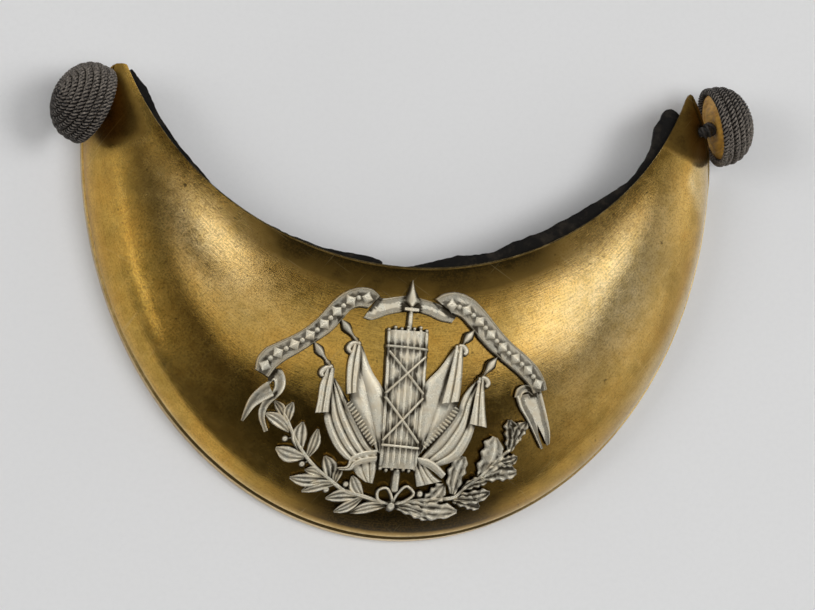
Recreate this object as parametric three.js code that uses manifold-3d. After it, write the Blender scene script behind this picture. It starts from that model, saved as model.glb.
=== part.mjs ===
import * as THREE from "three";
import Module from "manifold-3d";

// Officer's gorget: a crescent of domed brass with a cast silver trophy, a dark lining
// and a cord-covered button on a thread shank at each horn. Millimetres, +Z up, and the
// plate lies on its outer rim. The drawing centre is the middle of the outer ellipse.

const wasm = await Module();
wasm.setup();

// Plate
const OUTER_HALF_WIDTH = 73;
const OUTER_DEPTH = 90;
const NECK_RADIUS = 69;
const NECK_LOWEST_Y = -31;
const NECK_HEIGHT_MIDDLE = 23;
const NECK_HEIGHT_HORN = 13;
const NECK_ANGLE = 72;
const OUTER_ANGLE = 100;
const ROUNDNESS_MIDDLE = 2.2;
const ROUNDNESS_HORN = 1.7;
const BRASS = 1.0;
const RIM_HEIGHT = 1.7;
const RIM_RAISE = 0.25;
const GROOVE_DEPTH = 0.3;
const GROOVE_HEIGHT = 0.5;
const PLATE_SPANS = 28;
const HORN_SPANS = 5;

// Horn ends: where the outer edge leaves the table, where the tip is, how far round the
// section the tip sits, and how full the taper is
const HORNS = {
  left: { side: -1, leave: 0.875, tip: 0.966, tipAngle: 20, fullness: 2.2 },
  right: { side: 1, leave: 0.85, tip: 0.968, tipAngle: 8, fullness: 1.3 },
};

// Lining
const GAP = 0.3;
const CLOTH = 1.2;
const LINING_END_ANGLE = 74;
const LINING_SPANS = 16;
const LINING_GAP = 0.75;
const LINING_FROM = -0.94;
const LINING_TO = 0.91;
// Ragged front edge: place along the neck, and how far it stands past the brass
const LINING_EDGE = [
  { at: -0.94, past: 1.2 },
  { at: -0.88, past: 2.4 },
  { at: -0.72, past: 1.0 },
  { at: -0.45, past: 0.6 },
  { at: -0.22, past: 0.9 },
  { at: -0.12, past: 1.8 },
  { at: -0.085, past: 1.4 },
  { at: -0.07, past: -1.6 },
  { at: -0.02, past: -1.6 },
  { at: 0.0, past: 0.7 },
  { at: 0.1, past: 1.9 },
  { at: 0.2, past: 2.0 },
  { at: 0.25, past: 3.1 },
  { at: 0.6, past: 3.3 },
  { at: 0.86, past: 3.2 },
  { at: 0.91, past: 1.8 },
];

// Buttons
const BUTTON_RADIUS = 9.3;
const BUTTON_HEIGHT = 9.2;
const CORD_TURNS = 6;
const CORD_RIDGE = 0.45;
const MOULD_RADIUS = 8.6;
const MOULD_BACK = 1.6;
const SHANK_RADIUS = 1.1;
const HOLE_RADIUS = 1.9;
const KNOT_RADIUS = 2.8;
const BUTTON_SIDES = 14;
const BUTTONS = {
  left: { back: [-71.4, 3.2, 13], axis: [-0.87, 0.31, 0.38], hole: [-68.9, 2.3], arch: 0 },
  right: { back: [71.5, 6.9, 10.8], axis: [0.96, 0.24, 0], hole: [68.4, 5.6], arch: 1.4 },
};

// Emblem, drawn flat as p to the right and q up from its own centre, then laid on the dome
const EMBLEM_X = -1.5;
const EMBLEM_Y = -60;
const PIN_RADIUS = 0.8;
const PIN_HOLE_RADIUS = 1.2;
const PINS = [
  { p: 0, q: 9 },
  { p: -0.3, q: -9 },
];

const radians = THREE.MathUtils.degToRad;
const mix = THREE.MathUtils.lerp;

// Surface of the plate. Place runs from -1 at the left horn to 1 at the right; angle runs
// from 0 at the neck edge to 90 at the outer edge; lift moves along the normal.
function roundness(place) {
  return mix(ROUNDNESS_MIDDLE, ROUNDNESS_HORN, place * place);
}

function neckPoint(place) {
  const turn = radians(NECK_ANGLE * place);
  return {
    x: NECK_RADIUS * Math.sin(turn),
    y: NECK_LOWEST_Y + NECK_RADIUS * (1 - Math.cos(turn)),
    z: mix(NECK_HEIGHT_MIDDLE, NECK_HEIGHT_HORN, place * place),
  };
}

function outerPoint(place) {
  const turn = radians(OUTER_ANGLE * place);
  return { x: OUTER_HALF_WIDTH * Math.sin(turn), y: -OUTER_DEPTH * Math.cos(turn) };
}

function skin(place, angle) {
  const neck = neckPoint(place);
  const outer = outerPoint(place);
  const power = 2 / roundness(place);
  const turn = radians(THREE.MathUtils.clamp(angle, 0, 90));
  const across = Math.pow(Math.sin(turn), power);
  const up = Math.pow(Math.max(Math.cos(turn), 0), power);
  return new THREE.Vector3(mix(neck.x, outer.x, across), mix(neck.y, outer.y, across), neck.z * up);
}

function skinNormal(place, angle) {
  const here = THREE.MathUtils.clamp(angle, 1, 89);
  const along = skin(place + 0.004, here).sub(skin(place - 0.004, here));
  const across = skin(place, here + 0.5).sub(skin(place, here - 0.5));
  const normal = across.cross(along).normalize();
  if (angle >= 88) {
    normal.z = 0;
    normal.normalize();
  }
  if (angle <= 1) {
    normal.set(0, 0, 1);
  }
  return normal;
}

function offsetSkin(place, angle, lift) {
  return skin(place, angle).addScaledVector(skinNormal(place, angle), lift);
}

// Plate place and share across for a point seen from above
function locate(x, y) {
  let low = -1.05;
  let high = 1.05;
  for (let step = 0; step < 50; step += 1) {
    const middle = (low + high) / 2;
    const neck = neckPoint(middle);
    const outer = outerPoint(middle);
    const cross = (outer.x - neck.x) * (y - neck.y) - (outer.y - neck.y) * (x - neck.x);
    if (cross > 0) {
      low = middle;
    } else {
      high = middle;
    }
  }
  const place = (low + high) / 2;
  const neck = neckPoint(place);
  const outer = outerPoint(place);
  const dx = outer.x - neck.x;
  const dy = outer.y - neck.y;
  const share = ((x - neck.x) * dx + (y - neck.y) * dy) / (dx * dx + dy * dy);
  return { place, share: THREE.MathUtils.clamp(share, 0, 0.999) };
}

function domeHeight(x, y) {
  const { place, share } = locate(x, y);
  const power = roundness(place);
  return neckPoint(place).z * Math.pow(1 - Math.pow(share, power), 1 / power);
}

function domeNormal(x, y) {
  const step = 0.2;
  const slopeX = (domeHeight(x + step, y) - domeHeight(x - step, y)) / (2 * step);
  const slopeY = (domeHeight(x, y + step) - domeHeight(x, y - step)) / (2 * step);
  return new THREE.Vector3(-slopeX, -slopeY, 1).normalize();
}

// Section angles at a place: the horn ends taper to a blunt rounded tip
function sectionRange(place) {
  const horn = place < 0 ? HORNS.left : HORNS.right;
  const size = Math.abs(place);
  let start = 0;
  let end = 90;
  if (size > horn.leave) {
    const gone = Math.min((size - horn.leave) / (horn.tip - horn.leave), 1);
    end = mix(horn.tipAngle + 3, 90, 1 - Math.pow(gone, horn.fullness));
    const round = Math.max((gone - 0.8) / 0.2, 0);
    start = Math.max(horn.tipAngle - 3, 0) * round * round;
  }
  return { start, end };
}

function hornPlaces(horn) {
  const places = [];
  for (let step = 1; step <= HORN_SPANS; step += 1) {
    const share = Math.sin((Math.PI / 2) * (step / HORN_SPANS));
    places.push(horn.side * mix(horn.leave, horn.tip, share));
  }
  return places;
}

function platePlaces() {
  const places = hornPlaces(HORNS.left).reverse();
  for (let step = 0; step <= PLATE_SPANS; step += 1) {
    places.push(mix(-HORNS.left.leave, HORNS.right.leave, step / PLATE_SPANS));
  }
  return places.concat(hornPlaces(HORNS.right));
}

// Meshes
function toGeometry(points, faces) {
  const geometry = new THREE.BufferGeometry();
  const flat = points.flatMap((point) => [point.x, point.y, point.z]);
  geometry.setAttribute("position", new THREE.Float32BufferAttribute(flat, 3));
  let volume = 0;
  faces.forEach(([a, b, c]) => {
    volume += points[a].dot(points[b].clone().cross(points[c]));
  });
  const outward = volume > 0 ? faces : faces.map(([a, b, c]) => [a, c, b]);
  geometry.setIndex(outward.flat());
  return geometry;
}

// Closed body through rings of equal count; caps is a list of triangles in one ring
function loft(rings, caps) {
  const count = rings[0].length;
  const points = rings.flat();
  const faces = [];
  for (let ring = 0; ring + 1 < rings.length; ring += 1) {
    for (let step = 0; step < count; step += 1) {
      const a = ring * count + step;
      const b = ring * count + ((step + 1) % count);
      faces.push([a, b, b + count], [a, b + count, a + count]);
    }
  }
  const last = (rings.length - 1) * count;
  caps.forEach(([a, b, c]) => {
    faces.push([c, b, a], [last + a, last + b, last + c]);
  });
  return toGeometry(points, faces);
}

// Cap triangles for a ring made of a top row and the same number of points back below it
function stripCaps(count) {
  const half = count / 2;
  const caps = [];
  for (let step = 0; step + 1 < half; step += 1) {
    const below = count - 1 - step;
    caps.push([step, step + 1, below - 1], [step, below - 1, below]);
  }
  return caps;
}

// Body of revolution about +Z from a profile that starts and ends on the axis
function revolve(profile, sides) {
  const points = [new THREE.Vector3(0, 0, profile[0].height)];
  const inner = profile.slice(1, -1);
  inner.forEach(({ radius, height }) => {
    for (let side = 0; side < sides; side += 1) {
      const turn = (2 * Math.PI * side) / sides;
      points.push(new THREE.Vector3(radius * Math.cos(turn), radius * Math.sin(turn), height));
    }
  });
  points.push(new THREE.Vector3(0, 0, profile[profile.length - 1].height));
  const end = points.length - 1;
  const faces = [];
  for (let side = 0; side < sides; side += 1) {
    const next = (side + 1) % sides;
    faces.push([0, 1 + side, 1 + next]);
    for (let row = 0; row + 1 < inner.length; row += 1) {
      const a = 1 + row * sides + side;
      const b = 1 + row * sides + next;
      faces.push([a, a + sides, b + sides], [a, b + sides, b]);
    }
    const foot = 1 + (inner.length - 1) * sides;
    faces.push([foot + side, end, foot + next]);
  }
  return toGeometry(points, faces);
}

function toSolid(geometry) {
  const mesh = new wasm.Mesh({
    numProp: 3,
    vertProperties: new Float32Array(geometry.getAttribute("position").array),
    triVerts: new Uint32Array(geometry.getIndex().array),
  });
  return new wasm.Manifold(mesh);
}

function fromSolid(solid) {
  const mesh = solid.getMesh();
  const geometry = new THREE.BufferGeometry();
  geometry.setAttribute("position", new THREE.Float32BufferAttribute(mesh.vertProperties, 3));
  geometry.setIndex(Array.from(mesh.triVerts));
  return geometry;
}

function cut(geometry, tools) {
  let solid = toSolid(geometry);
  tools.forEach((tool) => {
    solid = solid.subtract(toSolid(tool));
  });
  return fromSolid(solid);
}

function join(geometries) {
  let solid = toSolid(geometries[0]);
  geometries.slice(1).forEach((geometry) => {
    solid = solid.add(toSolid(geometry));
  });
  return fromSolid(solid);
}

// Round bar between two points
function bar(from, to, radius, sides) {
  const length = from.distanceTo(to);
  const geometry = revolve(
    [
      { radius: 0, height: 0 },
      { radius, height: 0 },
      { radius, height: length },
      { radius: 0, height: length },
    ],
    sides,
  );
  const turn = new THREE.Quaternion();
  turn.setFromUnitVectors(new THREE.Vector3(0, 0, 1), to.clone().sub(from).normalize());
  return geometry.applyQuaternion(turn).translate(from.x, from.y, from.z);
}

function holeTool(x, y, radius) {
  const middle = new THREE.Vector3(x, y, domeHeight(x, y));
  const normal = domeNormal(x, y);
  const above = middle.clone().addScaledVector(normal, 4);
  const below = middle.clone().addScaledVector(normal, -8);
  return bar(below, above, radius, 12);
}

// Plate
function plateRing(place) {
  const { start, end } = sectionRange(place);
  const neckHeight = neckPoint(place).z;
  const rim = THREE.MathUtils.radToDeg(RIM_HEIGHT / neckHeight);
  const groove = THREE.MathUtils.radToDeg(GROOVE_HEIGHT / neckHeight);
  const room = Math.min(1, (end - start) / 30);
  const face = [0, 0.21, 0.42, 0.63, 0.83, 1];
  const faceEnd = end - (rim + groove) * room;
  const stops = face.map((share) => ({ angle: mix(start, faceEnd, share), lift: 0 }));
  stops.push({ angle: end - (rim + groove * 0.4) * room, lift: -GROOVE_DEPTH * room });
  stops.push({ angle: end - rim * room, lift: RIM_RAISE * room });
  stops.push({ angle: end, lift: RIM_RAISE * room });
  const top = stops.map(({ angle, lift }) => offsetSkin(place, angle, lift));
  const below = stops.map(({ angle }) => offsetSkin(place, angle, -BRASS)).reverse();
  return top.concat(below);
}

function makePlate() {
  const rings = platePlaces().map(plateRing);
  const body = loft(rings, stripCaps(rings[0].length));
  const holes = Object.values(BUTTONS).map(({ hole }) => holeTool(hole[0], hole[1], HOLE_RADIUS));
  const pinHoles = PINS.map(({ p, q }) => holeTool(p + EMBLEM_X, q + EMBLEM_Y, PIN_HOLE_RADIUS));
  return cut(body, holes.concat(pinHoles));
}

// Lining
function edgePast(place) {
  const last = LINING_EDGE.length - 1;
  let index = 0;
  while (index < last - 1 && place > LINING_EDGE[index + 1].at) {
    index += 1;
  }
  const from = LINING_EDGE[index];
  const to = LINING_EDGE[index + 1];
  const share = THREE.MathUtils.clamp((place - from.at) / (to.at - from.at), 0, 1);
  return mix(from.past, to.past, share);
}

function liningRing(place) {
  const horn = place < 0 ? HORNS.left : HORNS.right;
  const { end } = sectionRange(place);
  const near = Math.max((Math.abs(place) - horn.leave) / (horn.tip - horn.leave), 0);
  const last = Math.min(LINING_END_ANGLE, end - 10 - 8 * near);
  const past = edgePast(place);
  const turn = radians(NECK_ANGLE * place);
  const out = new THREE.Vector3(-Math.sin(turn), Math.cos(turn), 0);
  const top = [];
  const below = [];
  const first = past < 0 ? 3 : 2;
  const shares = [0, 0.26, 0.52, 0.78, 1];
  if (past >= 0) {
    top.push(offsetSkin(place, 0, -BRASS - LINING_GAP).addScaledVector(out, past));
    below.push(offsetSkin(place, 0, -BRASS - LINING_GAP - CLOTH).addScaledVector(out, past));
  } else {
    top.push(offsetSkin(place, 1, -BRASS - LINING_GAP));
    below.push(offsetSkin(place, 1, -BRASS - LINING_GAP - CLOTH));
  }
  shares.forEach((share) => {
    const angle = mix(first, last, share);
    top.push(offsetSkin(place, angle, -BRASS - LINING_GAP));
    below.push(offsetSkin(place, angle, -BRASS - LINING_GAP - CLOTH));
  });
  return top.concat(below.reverse());
}

function makeLining() {
  const places = LINING_EDGE.map(({ at }) => at);
  for (let step = 0; step <= LINING_SPANS; step += 1) {
    const place = mix(LINING_FROM, LINING_TO, step / LINING_SPANS);
    if (places.every((other) => Math.abs(other - place) > 0.012)) {
      places.push(place);
    }
  }
  places.sort((a, b) => a - b);
  const rings = places.map(liningRing);
  const body = loft(rings, stripCaps(rings[0].length));
  const holes = Object.values(BUTTONS).map(({ hole }) => holeTool(hole[0], hole[1], HOLE_RADIUS));
  return cut(body, holes);
}

// Buttons
function placeButton(geometry, { back, axis }) {
  const turn = new THREE.Quaternion();
  turn.setFromUnitVectors(new THREE.Vector3(0, 0, 1), new THREE.Vector3(...axis).normalize());
  return geometry.applyQuaternion(turn).translate(...back);
}

// Height zero is the flat back of the wooden mould; the cord cover caps it
function makeCover(button) {
  const profile = [{ radius: 0, height: BUTTON_HEIGHT }];
  const rows = CORD_TURNS * 2;
  for (let row = 1; row <= rows; row += 1) {
    const turn = (Math.PI / 2) * (row / rows);
    const ridge = row % 2 === 0 ? -CORD_RIDGE : 0;
    const radius = (BUTTON_RADIUS + ridge) * Math.sin(turn);
    const height = MOULD_BACK + (BUTTON_HEIGHT - MOULD_BACK + ridge) * Math.cos(turn);
    profile.push({ radius, height });
  }
  const inside = [0, 0.35, 0.7, 1];
  inside.forEach((share) => {
    const turn = (Math.PI / 2) * (1 - share);
    const radius = (MOULD_RADIUS - 0.9) * Math.sin(turn);
    const height = MOULD_BACK + 0.3 + (BUTTON_HEIGHT - MOULD_BACK - 2.2) * Math.cos(turn);
    profile.push({ radius, height: share === 0 ? MOULD_BACK : height });
  });
  return placeButton(revolve(profile, BUTTON_SIDES), button);
}

function makeMould(button) {
  const top = BUTTON_HEIGHT - 2.2;
  const profile = [
    { radius: 0, height: top },
    { radius: MOULD_RADIUS * 0.42, height: top - 0.9 },
    { radius: MOULD_RADIUS * 0.72, height: MOULD_BACK + 2.1 },
    { radius: MOULD_RADIUS - 1.6, height: MOULD_BACK - GAP },
    { radius: MOULD_RADIUS, height: MOULD_BACK - GAP },
    { radius: MOULD_RADIUS - 0.5, height: 0 },
    { radius: 0, height: 0 },
  ];
  return placeButton(revolve(profile, BUTTON_SIDES), button);
}

// Thread from a knot under the lining, out through the horn and across to the button
function makeShank({ back, axis, hole, arch }) {
  const surface = new THREE.Vector3(hole[0], hole[1], domeHeight(hole[0], hole[1]));
  const normal = domeNormal(hole[0], hole[1]);
  const facing = new THREE.Vector3(...axis).normalize();
  const end = new THREE.Vector3(...back).addScaledVector(facing, -3 * GAP);
  const near = end.clone().addScaledVector(facing, -0.5);
  const path = new THREE.CatmullRomCurve3([
    surface.clone().addScaledVector(normal, -4.4),
    surface.clone().addScaledVector(normal, -2),
    surface.clone().addScaledVector(normal, 0.8),
    surface.clone().lerp(near, 0.5).addScaledVector(normal, arch),
    near,
    end,
  ]);
  const round = new THREE.Shape().absarc(0, 0, SHANK_RADIUS, 0, 2 * Math.PI, true);
  const thread = new THREE.ExtrudeGeometry(round, { steps: 8, curveSegments: 4, extrudePath: path });
  const knot = revolve(
    [
      { radius: 0, height: 0 },
      { radius: KNOT_RADIUS * 0.8, height: 0.2 },
      { radius: KNOT_RADIUS, height: 1.2 },
      { radius: KNOT_RADIUS * 0.7, height: 2.2 },
      { radius: 0, height: 2.5 },
    ],
    10,
  );
  const turn = new THREE.Quaternion();
  turn.setFromUnitVectors(new THREE.Vector3(0, 0, 1), normal.clone().negate());
  const seat = surface.clone().addScaledVector(normal, -BRASS - LINING_GAP - CLOTH - 2 * GAP);
  knot.applyQuaternion(turn).translate(seat.x, seat.y, seat.z);
  return join([weld(thread), knot]);
}

function weld(geometry) {
  const source = geometry.getAttribute("position");
  const seen = new Map();
  const points = [];
  const faces = [];
  const find = (index) => {
    const point = new THREE.Vector3().fromBufferAttribute(source, index);
    const key = point.toArray().map((value) => Math.round(value * 1e4)).join(" ");
    if (!seen.has(key)) {
      seen.set(key, points.length);
      points.push(point);
    }
    return seen.get(key);
  };
  const order = geometry.getIndex() ? Array.from(geometry.getIndex().array) : null;
  const total = order ? order.length : source.count;
  for (let corner = 0; corner < total; corner += 3) {
    const face = [0, 1, 2].map((step) => find(order ? order[corner + step] : corner + step));
    if (new Set(face).size === 3) {
      faces.push(face);
    }
  }
  return toGeometry(points, faces);
}

// Emblem
const PROFILES = {
  round: [[-1, 0], [-0.85, 0.62], [0, 1], [0.85, 0.62], [1, 0]],
  ridge: [[-1, 0], [0, 1], [1, 0]],
  band: [[-1, 0], [-1, 1], [-0.72, 1], [-0.66, 0.7], [0.66, 0.7], [0.72, 1], [1, 1], [1, 0]],
  flat: [[-1, 0], [-0.92, 1], [0.92, 1], [1, 0]],
};

function onDome(p, q, height) {
  const x = p + EMBLEM_X;
  const y = q + EMBLEM_Y;
  return new THREE.Vector3(x, y, domeHeight(x, y) + GAP + height);
}

// Strip along a path of [p, q] points. widths is spread evenly along it; tall gives the
// height at a point, and base is how far its underside stands above the gap
function strip({ path, widths, tall, base = 0, profile = "ridge", spans = 6 }) {
  const curve = new THREE.CatmullRomCurve3(path.map(([p, q]) => new THREE.Vector3(p, q, 0)));
  const shape = PROFILES[profile];
  const rings = [];
  for (let step = 0; step <= spans; step += 1) {
    const share = step / spans;
    const middle = curve.getPoint(share);
    const along = curve.getTangent(share);
    const slot = share * (widths.length - 1);
    const index = Math.min(Math.floor(slot), widths.length - 2);
    const half = mix(widths[index], widths[index + 1], slot - index);
    const ring = shape.map(([side, up]) => {
      const p = middle.x - along.y * side * half;
      const q = middle.y + along.x * side * half;
      const height = typeof tall === "function" ? tall(p, q, share) : tall;
      return onDome(p, q, mix(base, height, up));
    });
    rings.push(ring);
  }
  const outline = shape.map(([side, up]) => new THREE.Vector2(side, up));
  const caps = THREE.ShapeUtils.triangulateShape(outline, []).map((cap) => cap.sort((a, b) => a - b));
  return loft(rings, caps);
}

// Pleated cloth between two edges, each a path of [p, q] points
function cloth({ from, to, pleats, tall, base = 0, across = 8, down = 5 }) {
  const left = new THREE.CatmullRomCurve3(from.map(([p, q]) => new THREE.Vector3(p, q, 0)));
  const right = new THREE.CatmullRomCurve3(to.map(([p, q]) => new THREE.Vector3(p, q, 0)));
  const rings = [];
  for (let row = 0; row <= down; row += 1) {
    const a = left.getPoint(row / down);
    const b = right.getPoint(row / down);
    const top = [];
    const below = [];
    for (let step = 0; step <= across; step += 1) {
      const share = step / across;
      const point = a.clone().lerp(b, share);
      const wave = 0.5 - 0.5 * Math.cos(2 * Math.PI * pleats * share);
      top.push(onDome(point.x, point.y, tall * (0.55 + 0.45 * wave)));
      below.push(onDome(point.x, point.y, base));
    }
    rings.push(top.concat(below.reverse()));
  }
  return loft(rings, stripCaps(rings[0].length));
}

function bead(p, q, radius, tall, base = 0.1, sides = 8) {
  const geometry = revolve(
    [
      { radius: 0, height: 1 },
      { radius: 0.7, height: 0.75 },
      { radius: 1, height: 0 },
      { radius: 0, height: 0 },
    ],
    sides,
  );
  const position = geometry.getAttribute("position");
  for (let index = 0; index < position.count; index += 1) {
    const height = mix(base, tall, position.getZ(index));
    const place = onDome(p + radius * position.getX(index), q + radius * position.getY(index), height);
    position.setXYZ(index, place.x, place.y, place.z);
  }
  return geometry;
}

const RODS = 7;
const ROD_PITCH = 1.32;
const ROD_GROOVE = 0.6;
const BUNDLE = { top: 15.2, bottom: -15.6, middleTop: 0.15, middleBottom: -0.45, narrowing: 0.9 };
const BUNDLE_HALF = 4.7;

function bundlePoint(side, q) {
  const share = (BUNDLE.top - q) / (BUNDLE.top - BUNDLE.bottom);
  const middle = mix(BUNDLE.middleTop, BUNDLE.middleBottom, share);
  return [middle + side * mix(1, BUNDLE.narrowing, share), q];
}

function bundleHeight(p, extra) {
  const share = Math.min(Math.abs(p + 0.1) / (BUNDLE_HALF + 0.8), 1);
  return 0.9 + 1.4 * Math.sqrt(1 - share * share) + extra;
}

// Straps over the rods: ends as [side, q]
const STRAPS = [
  { from: [-4.6, 11.2], to: [4.6, 10.6], half: 0.55 },
  { from: [-4.6, -10.2], to: [4.6, -10.8], half: 0.55 },
  { from: [-2.9, 10.2], to: [4.6, 0.6], half: 0.5 },
  { from: [4.6, 9.4], to: [-4.6, 0.6], half: 0.5 },
  { from: [-4.6, 0.4], to: [4.4, -10], half: 0.5 },
  { from: [4.6, 0.4], to: [-4.6, -9.4], half: 0.5 },
];

// Rows across the bundle: q, and how much of the full height is there
const BUNDLE_ROWS = [
  { q: 15.7, full: 0.45 },
  { q: 15, full: 1 },
  { q: 8, full: 1 },
  { q: 1, full: 1 },
  { q: -5, full: 1 },
  { q: -10.5, full: 1 },
  { q: -15, full: 1 },
  { q: -15.9, full: 0.45 },
];

function makeRods() {
  const outline = [];
  const rings = BUNDLE_ROWS.map(({ q, full }, row) => {
    const ring = [];
    for (let step = 0; step <= 2 * RODS; step += 1) {
      const side = (step / 2 - RODS / 2) * ROD_PITCH;
      const tall = bundleHeight(side, step % 2 === 0 ? -ROD_GROOVE : 0);
      ring.push(onDome(...bundlePoint(side, q), tall * full));
      if (row === 0) {
        outline.push(new THREE.Vector2(side, tall));
      }
    }
    ring.push(onDome(...bundlePoint(BUNDLE_HALF, q), 0));
    ring.push(onDome(...bundlePoint(-BUNDLE_HALF, q), 0));
    return ring;
  });
  outline.push(new THREE.Vector2(BUNDLE_HALF, 0), new THREE.Vector2(-BUNDLE_HALF, 0));
  const caps = THREE.ShapeUtils.triangulateShape(outline, []).map((cap) => cap.sort((m, n) => m - n));
  return loft(rings, caps);
}

function makeBundle() {
  const parts = [makeRods()];
  STRAPS.forEach(({ from, to, half }) => {
    const path = [bundlePoint(...from), bundlePoint(...to)];
    const tall = (p) => bundleHeight(p, 0.45);
    parts.push(strip({ path, widths: [half, half], tall, base: 0.7, profile: "flat", spans: 4 }));
  });
  const shaft = [[0.4, 14], [0.8, 20.5]];
  const round = { tall: 1.7, base: 0.1, profile: "round", spans: 2 };
  parts.push(strip({ path: shaft, widths: [0.85, 0.75], ...round }));
  const collar = [[-0.7, 19.4], [2.2, 19.2]];
  parts.push(strip({ path: collar, widths: [0.5, 0.5], tall: 2.0, base: 0.2, profile: "flat", spans: 2 }));
  const head = [[0.8, 20], [0.9, 22.4], [0.8, 25.6]];
  parts.push(strip({ path: head, widths: [0.6, 1.6, 1.1, 0.08], tall: 1.7, base: 0.05, spans: 6 }));
  const handle = [[-0.5, -15], [-0.6, -20.4]];
  parts.push(strip({ path: handle, widths: [1.05, 1.05], ...round }));
  return parts;
}

// Ribbon: centre lines with half widths
const RIBBON = [
  {
    path: [[-31.4, 5.6], [-30.1, 8], [-27.6, 10], [-23.4, 11.7], [-19.1, 14.4], [-16, 17.5], [-13.7, 20.2],
      [-11, 21.5], [-7.9, 21.4]],
    widths: [1.75, 1.9, 2.1, 2.1, 1.9], tall: 1.5, base: 0.2, profile: "band", spans: 9,
  },
  {
    path: [[7.2, 21.6], [10.4, 21.9], [13.5, 19.9], [15.9, 17.8], [18.7, 14.9], [21.1, 12.6], [23.5, 10.8],
      [25.9, 9.3], [28.3, 7.2], [30.3, 4.8], [31, 3.4]],
    widths: [1.7, 2, 2.1, 2.1, 1.9], tall: 1.5, base: 0.2, profile: "band", spans: 9,
  },
  {
    path: [[-9.2, 18.6], [-5.6, 19.7], [-1.8, 20.6], [2.2, 20.5], [6.1, 19.8], [9.9, 18.2]],
    widths: [1.3, 1.7, 1.7, 1.7, 1.3], tall: 1.0, base: 0, profile: "band", spans: 6,
  },
  {
    path: [[-28.6, 5.6], [-27, 4.2], [-26.9, 2.7], [-27.6, 1.2], [-28.9, -0.2]],
    widths: [1.1, 1, 1, 1.1, 1.2], tall: 1.2, base: 0.1, profile: "ridge", spans: 4,
  },
  {
    path: [[-27.9, 2.2], [-30.9, 0.2], [-33.2, -2.4], [-34.6, -5.6]],
    widths: [1.3, 1.5, 1.3, 0.15], tall: 1.1, base: 0.05, profile: "ridge", spans: 4,
  },
  {
    path: [[-28.4, 0], [-30.6, -2.2], [-31.2, -4.4], [-30.5, -6.5], [-29.6, -8.2]],
    widths: [1.2, 1.4, 1.3, 1, 0.15], tall: 1.2, base: 0.12, profile: "ridge", spans: 4,
  },
  {
    path: [[26.4, 3.3], [27.2, 0.6], [29.2, -3], [31, -6], [32.4, -9.2]],
    widths: [1.2, 1.4, 1.3, 1, 0.15], tall: 1.2, base: 0.05, profile: "ridge", spans: 4,
  },
  {
    path: [[28.6, 3.4], [30.6, -0.6], [32.5, -4.4], [34.1, -8.3]],
    widths: [1.5, 1.6, 1.2, 0.15], tall: 1.1, base: 0.12, profile: "ridge", spans: 4,
  },
  {
    path: [[26, 2.2], [28.2, 3.1], [30.8, 2.8]],
    widths: [0.9, 0.9, 0.8], tall: 1.3, base: 0.18, profile: "ridge", spans: 3,
  },
];

// Plain ornament on the ribbon in place of lettering: lozenges between pellets
const RIBBON_ORNAMENTS = 7;

function ribbonOrnament(row) {
  const curve = new THREE.CatmullRomCurve3(row.path.map(([p, q]) => new THREE.Vector3(p, q, 0)));
  const parts = [];
  for (let index = 0; index < RIBBON_ORNAMENTS; index += 1) {
    const share = (index + 1) / (RIBBON_ORNAMENTS + 1);
    const middle = curve.getPointAt(share);
    const along = curve.getTangentAt(share);
    if (index % 2 === 0) {
      const path = [-1, 1].map((end) => [middle.x + 1.3 * end * along.x, middle.y + 1.3 * end * along.y]);
      parts.push(strip({ path, widths: [0.06, 0.85, 0.06], tall: 1.7, base: 0.5, spans: 2 }));
    } else {
      parts.push(bead(middle.x, middle.y, 0.55, 1.7, 0.5, 6));
    }
  }
  return parts;
}

// Flag staff heads: tip and foot
const FINIALS = [
  { tip: [-14.7, 16.6], foot: [-10.7, 11.4] },
  { tip: [-20.4, 11.4], foot: [-16.2, 6.4] },
  { tip: [15, 15.5], foot: [10.7, 10.6] },
  { tip: [20.4, 9.8], foot: [16.2, 4.4] },
];
const TASSELS = [[-13.4, 9.9], [-19.2, 4.3], [12.9, 9.8], [18.3, 3.4]];

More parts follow.
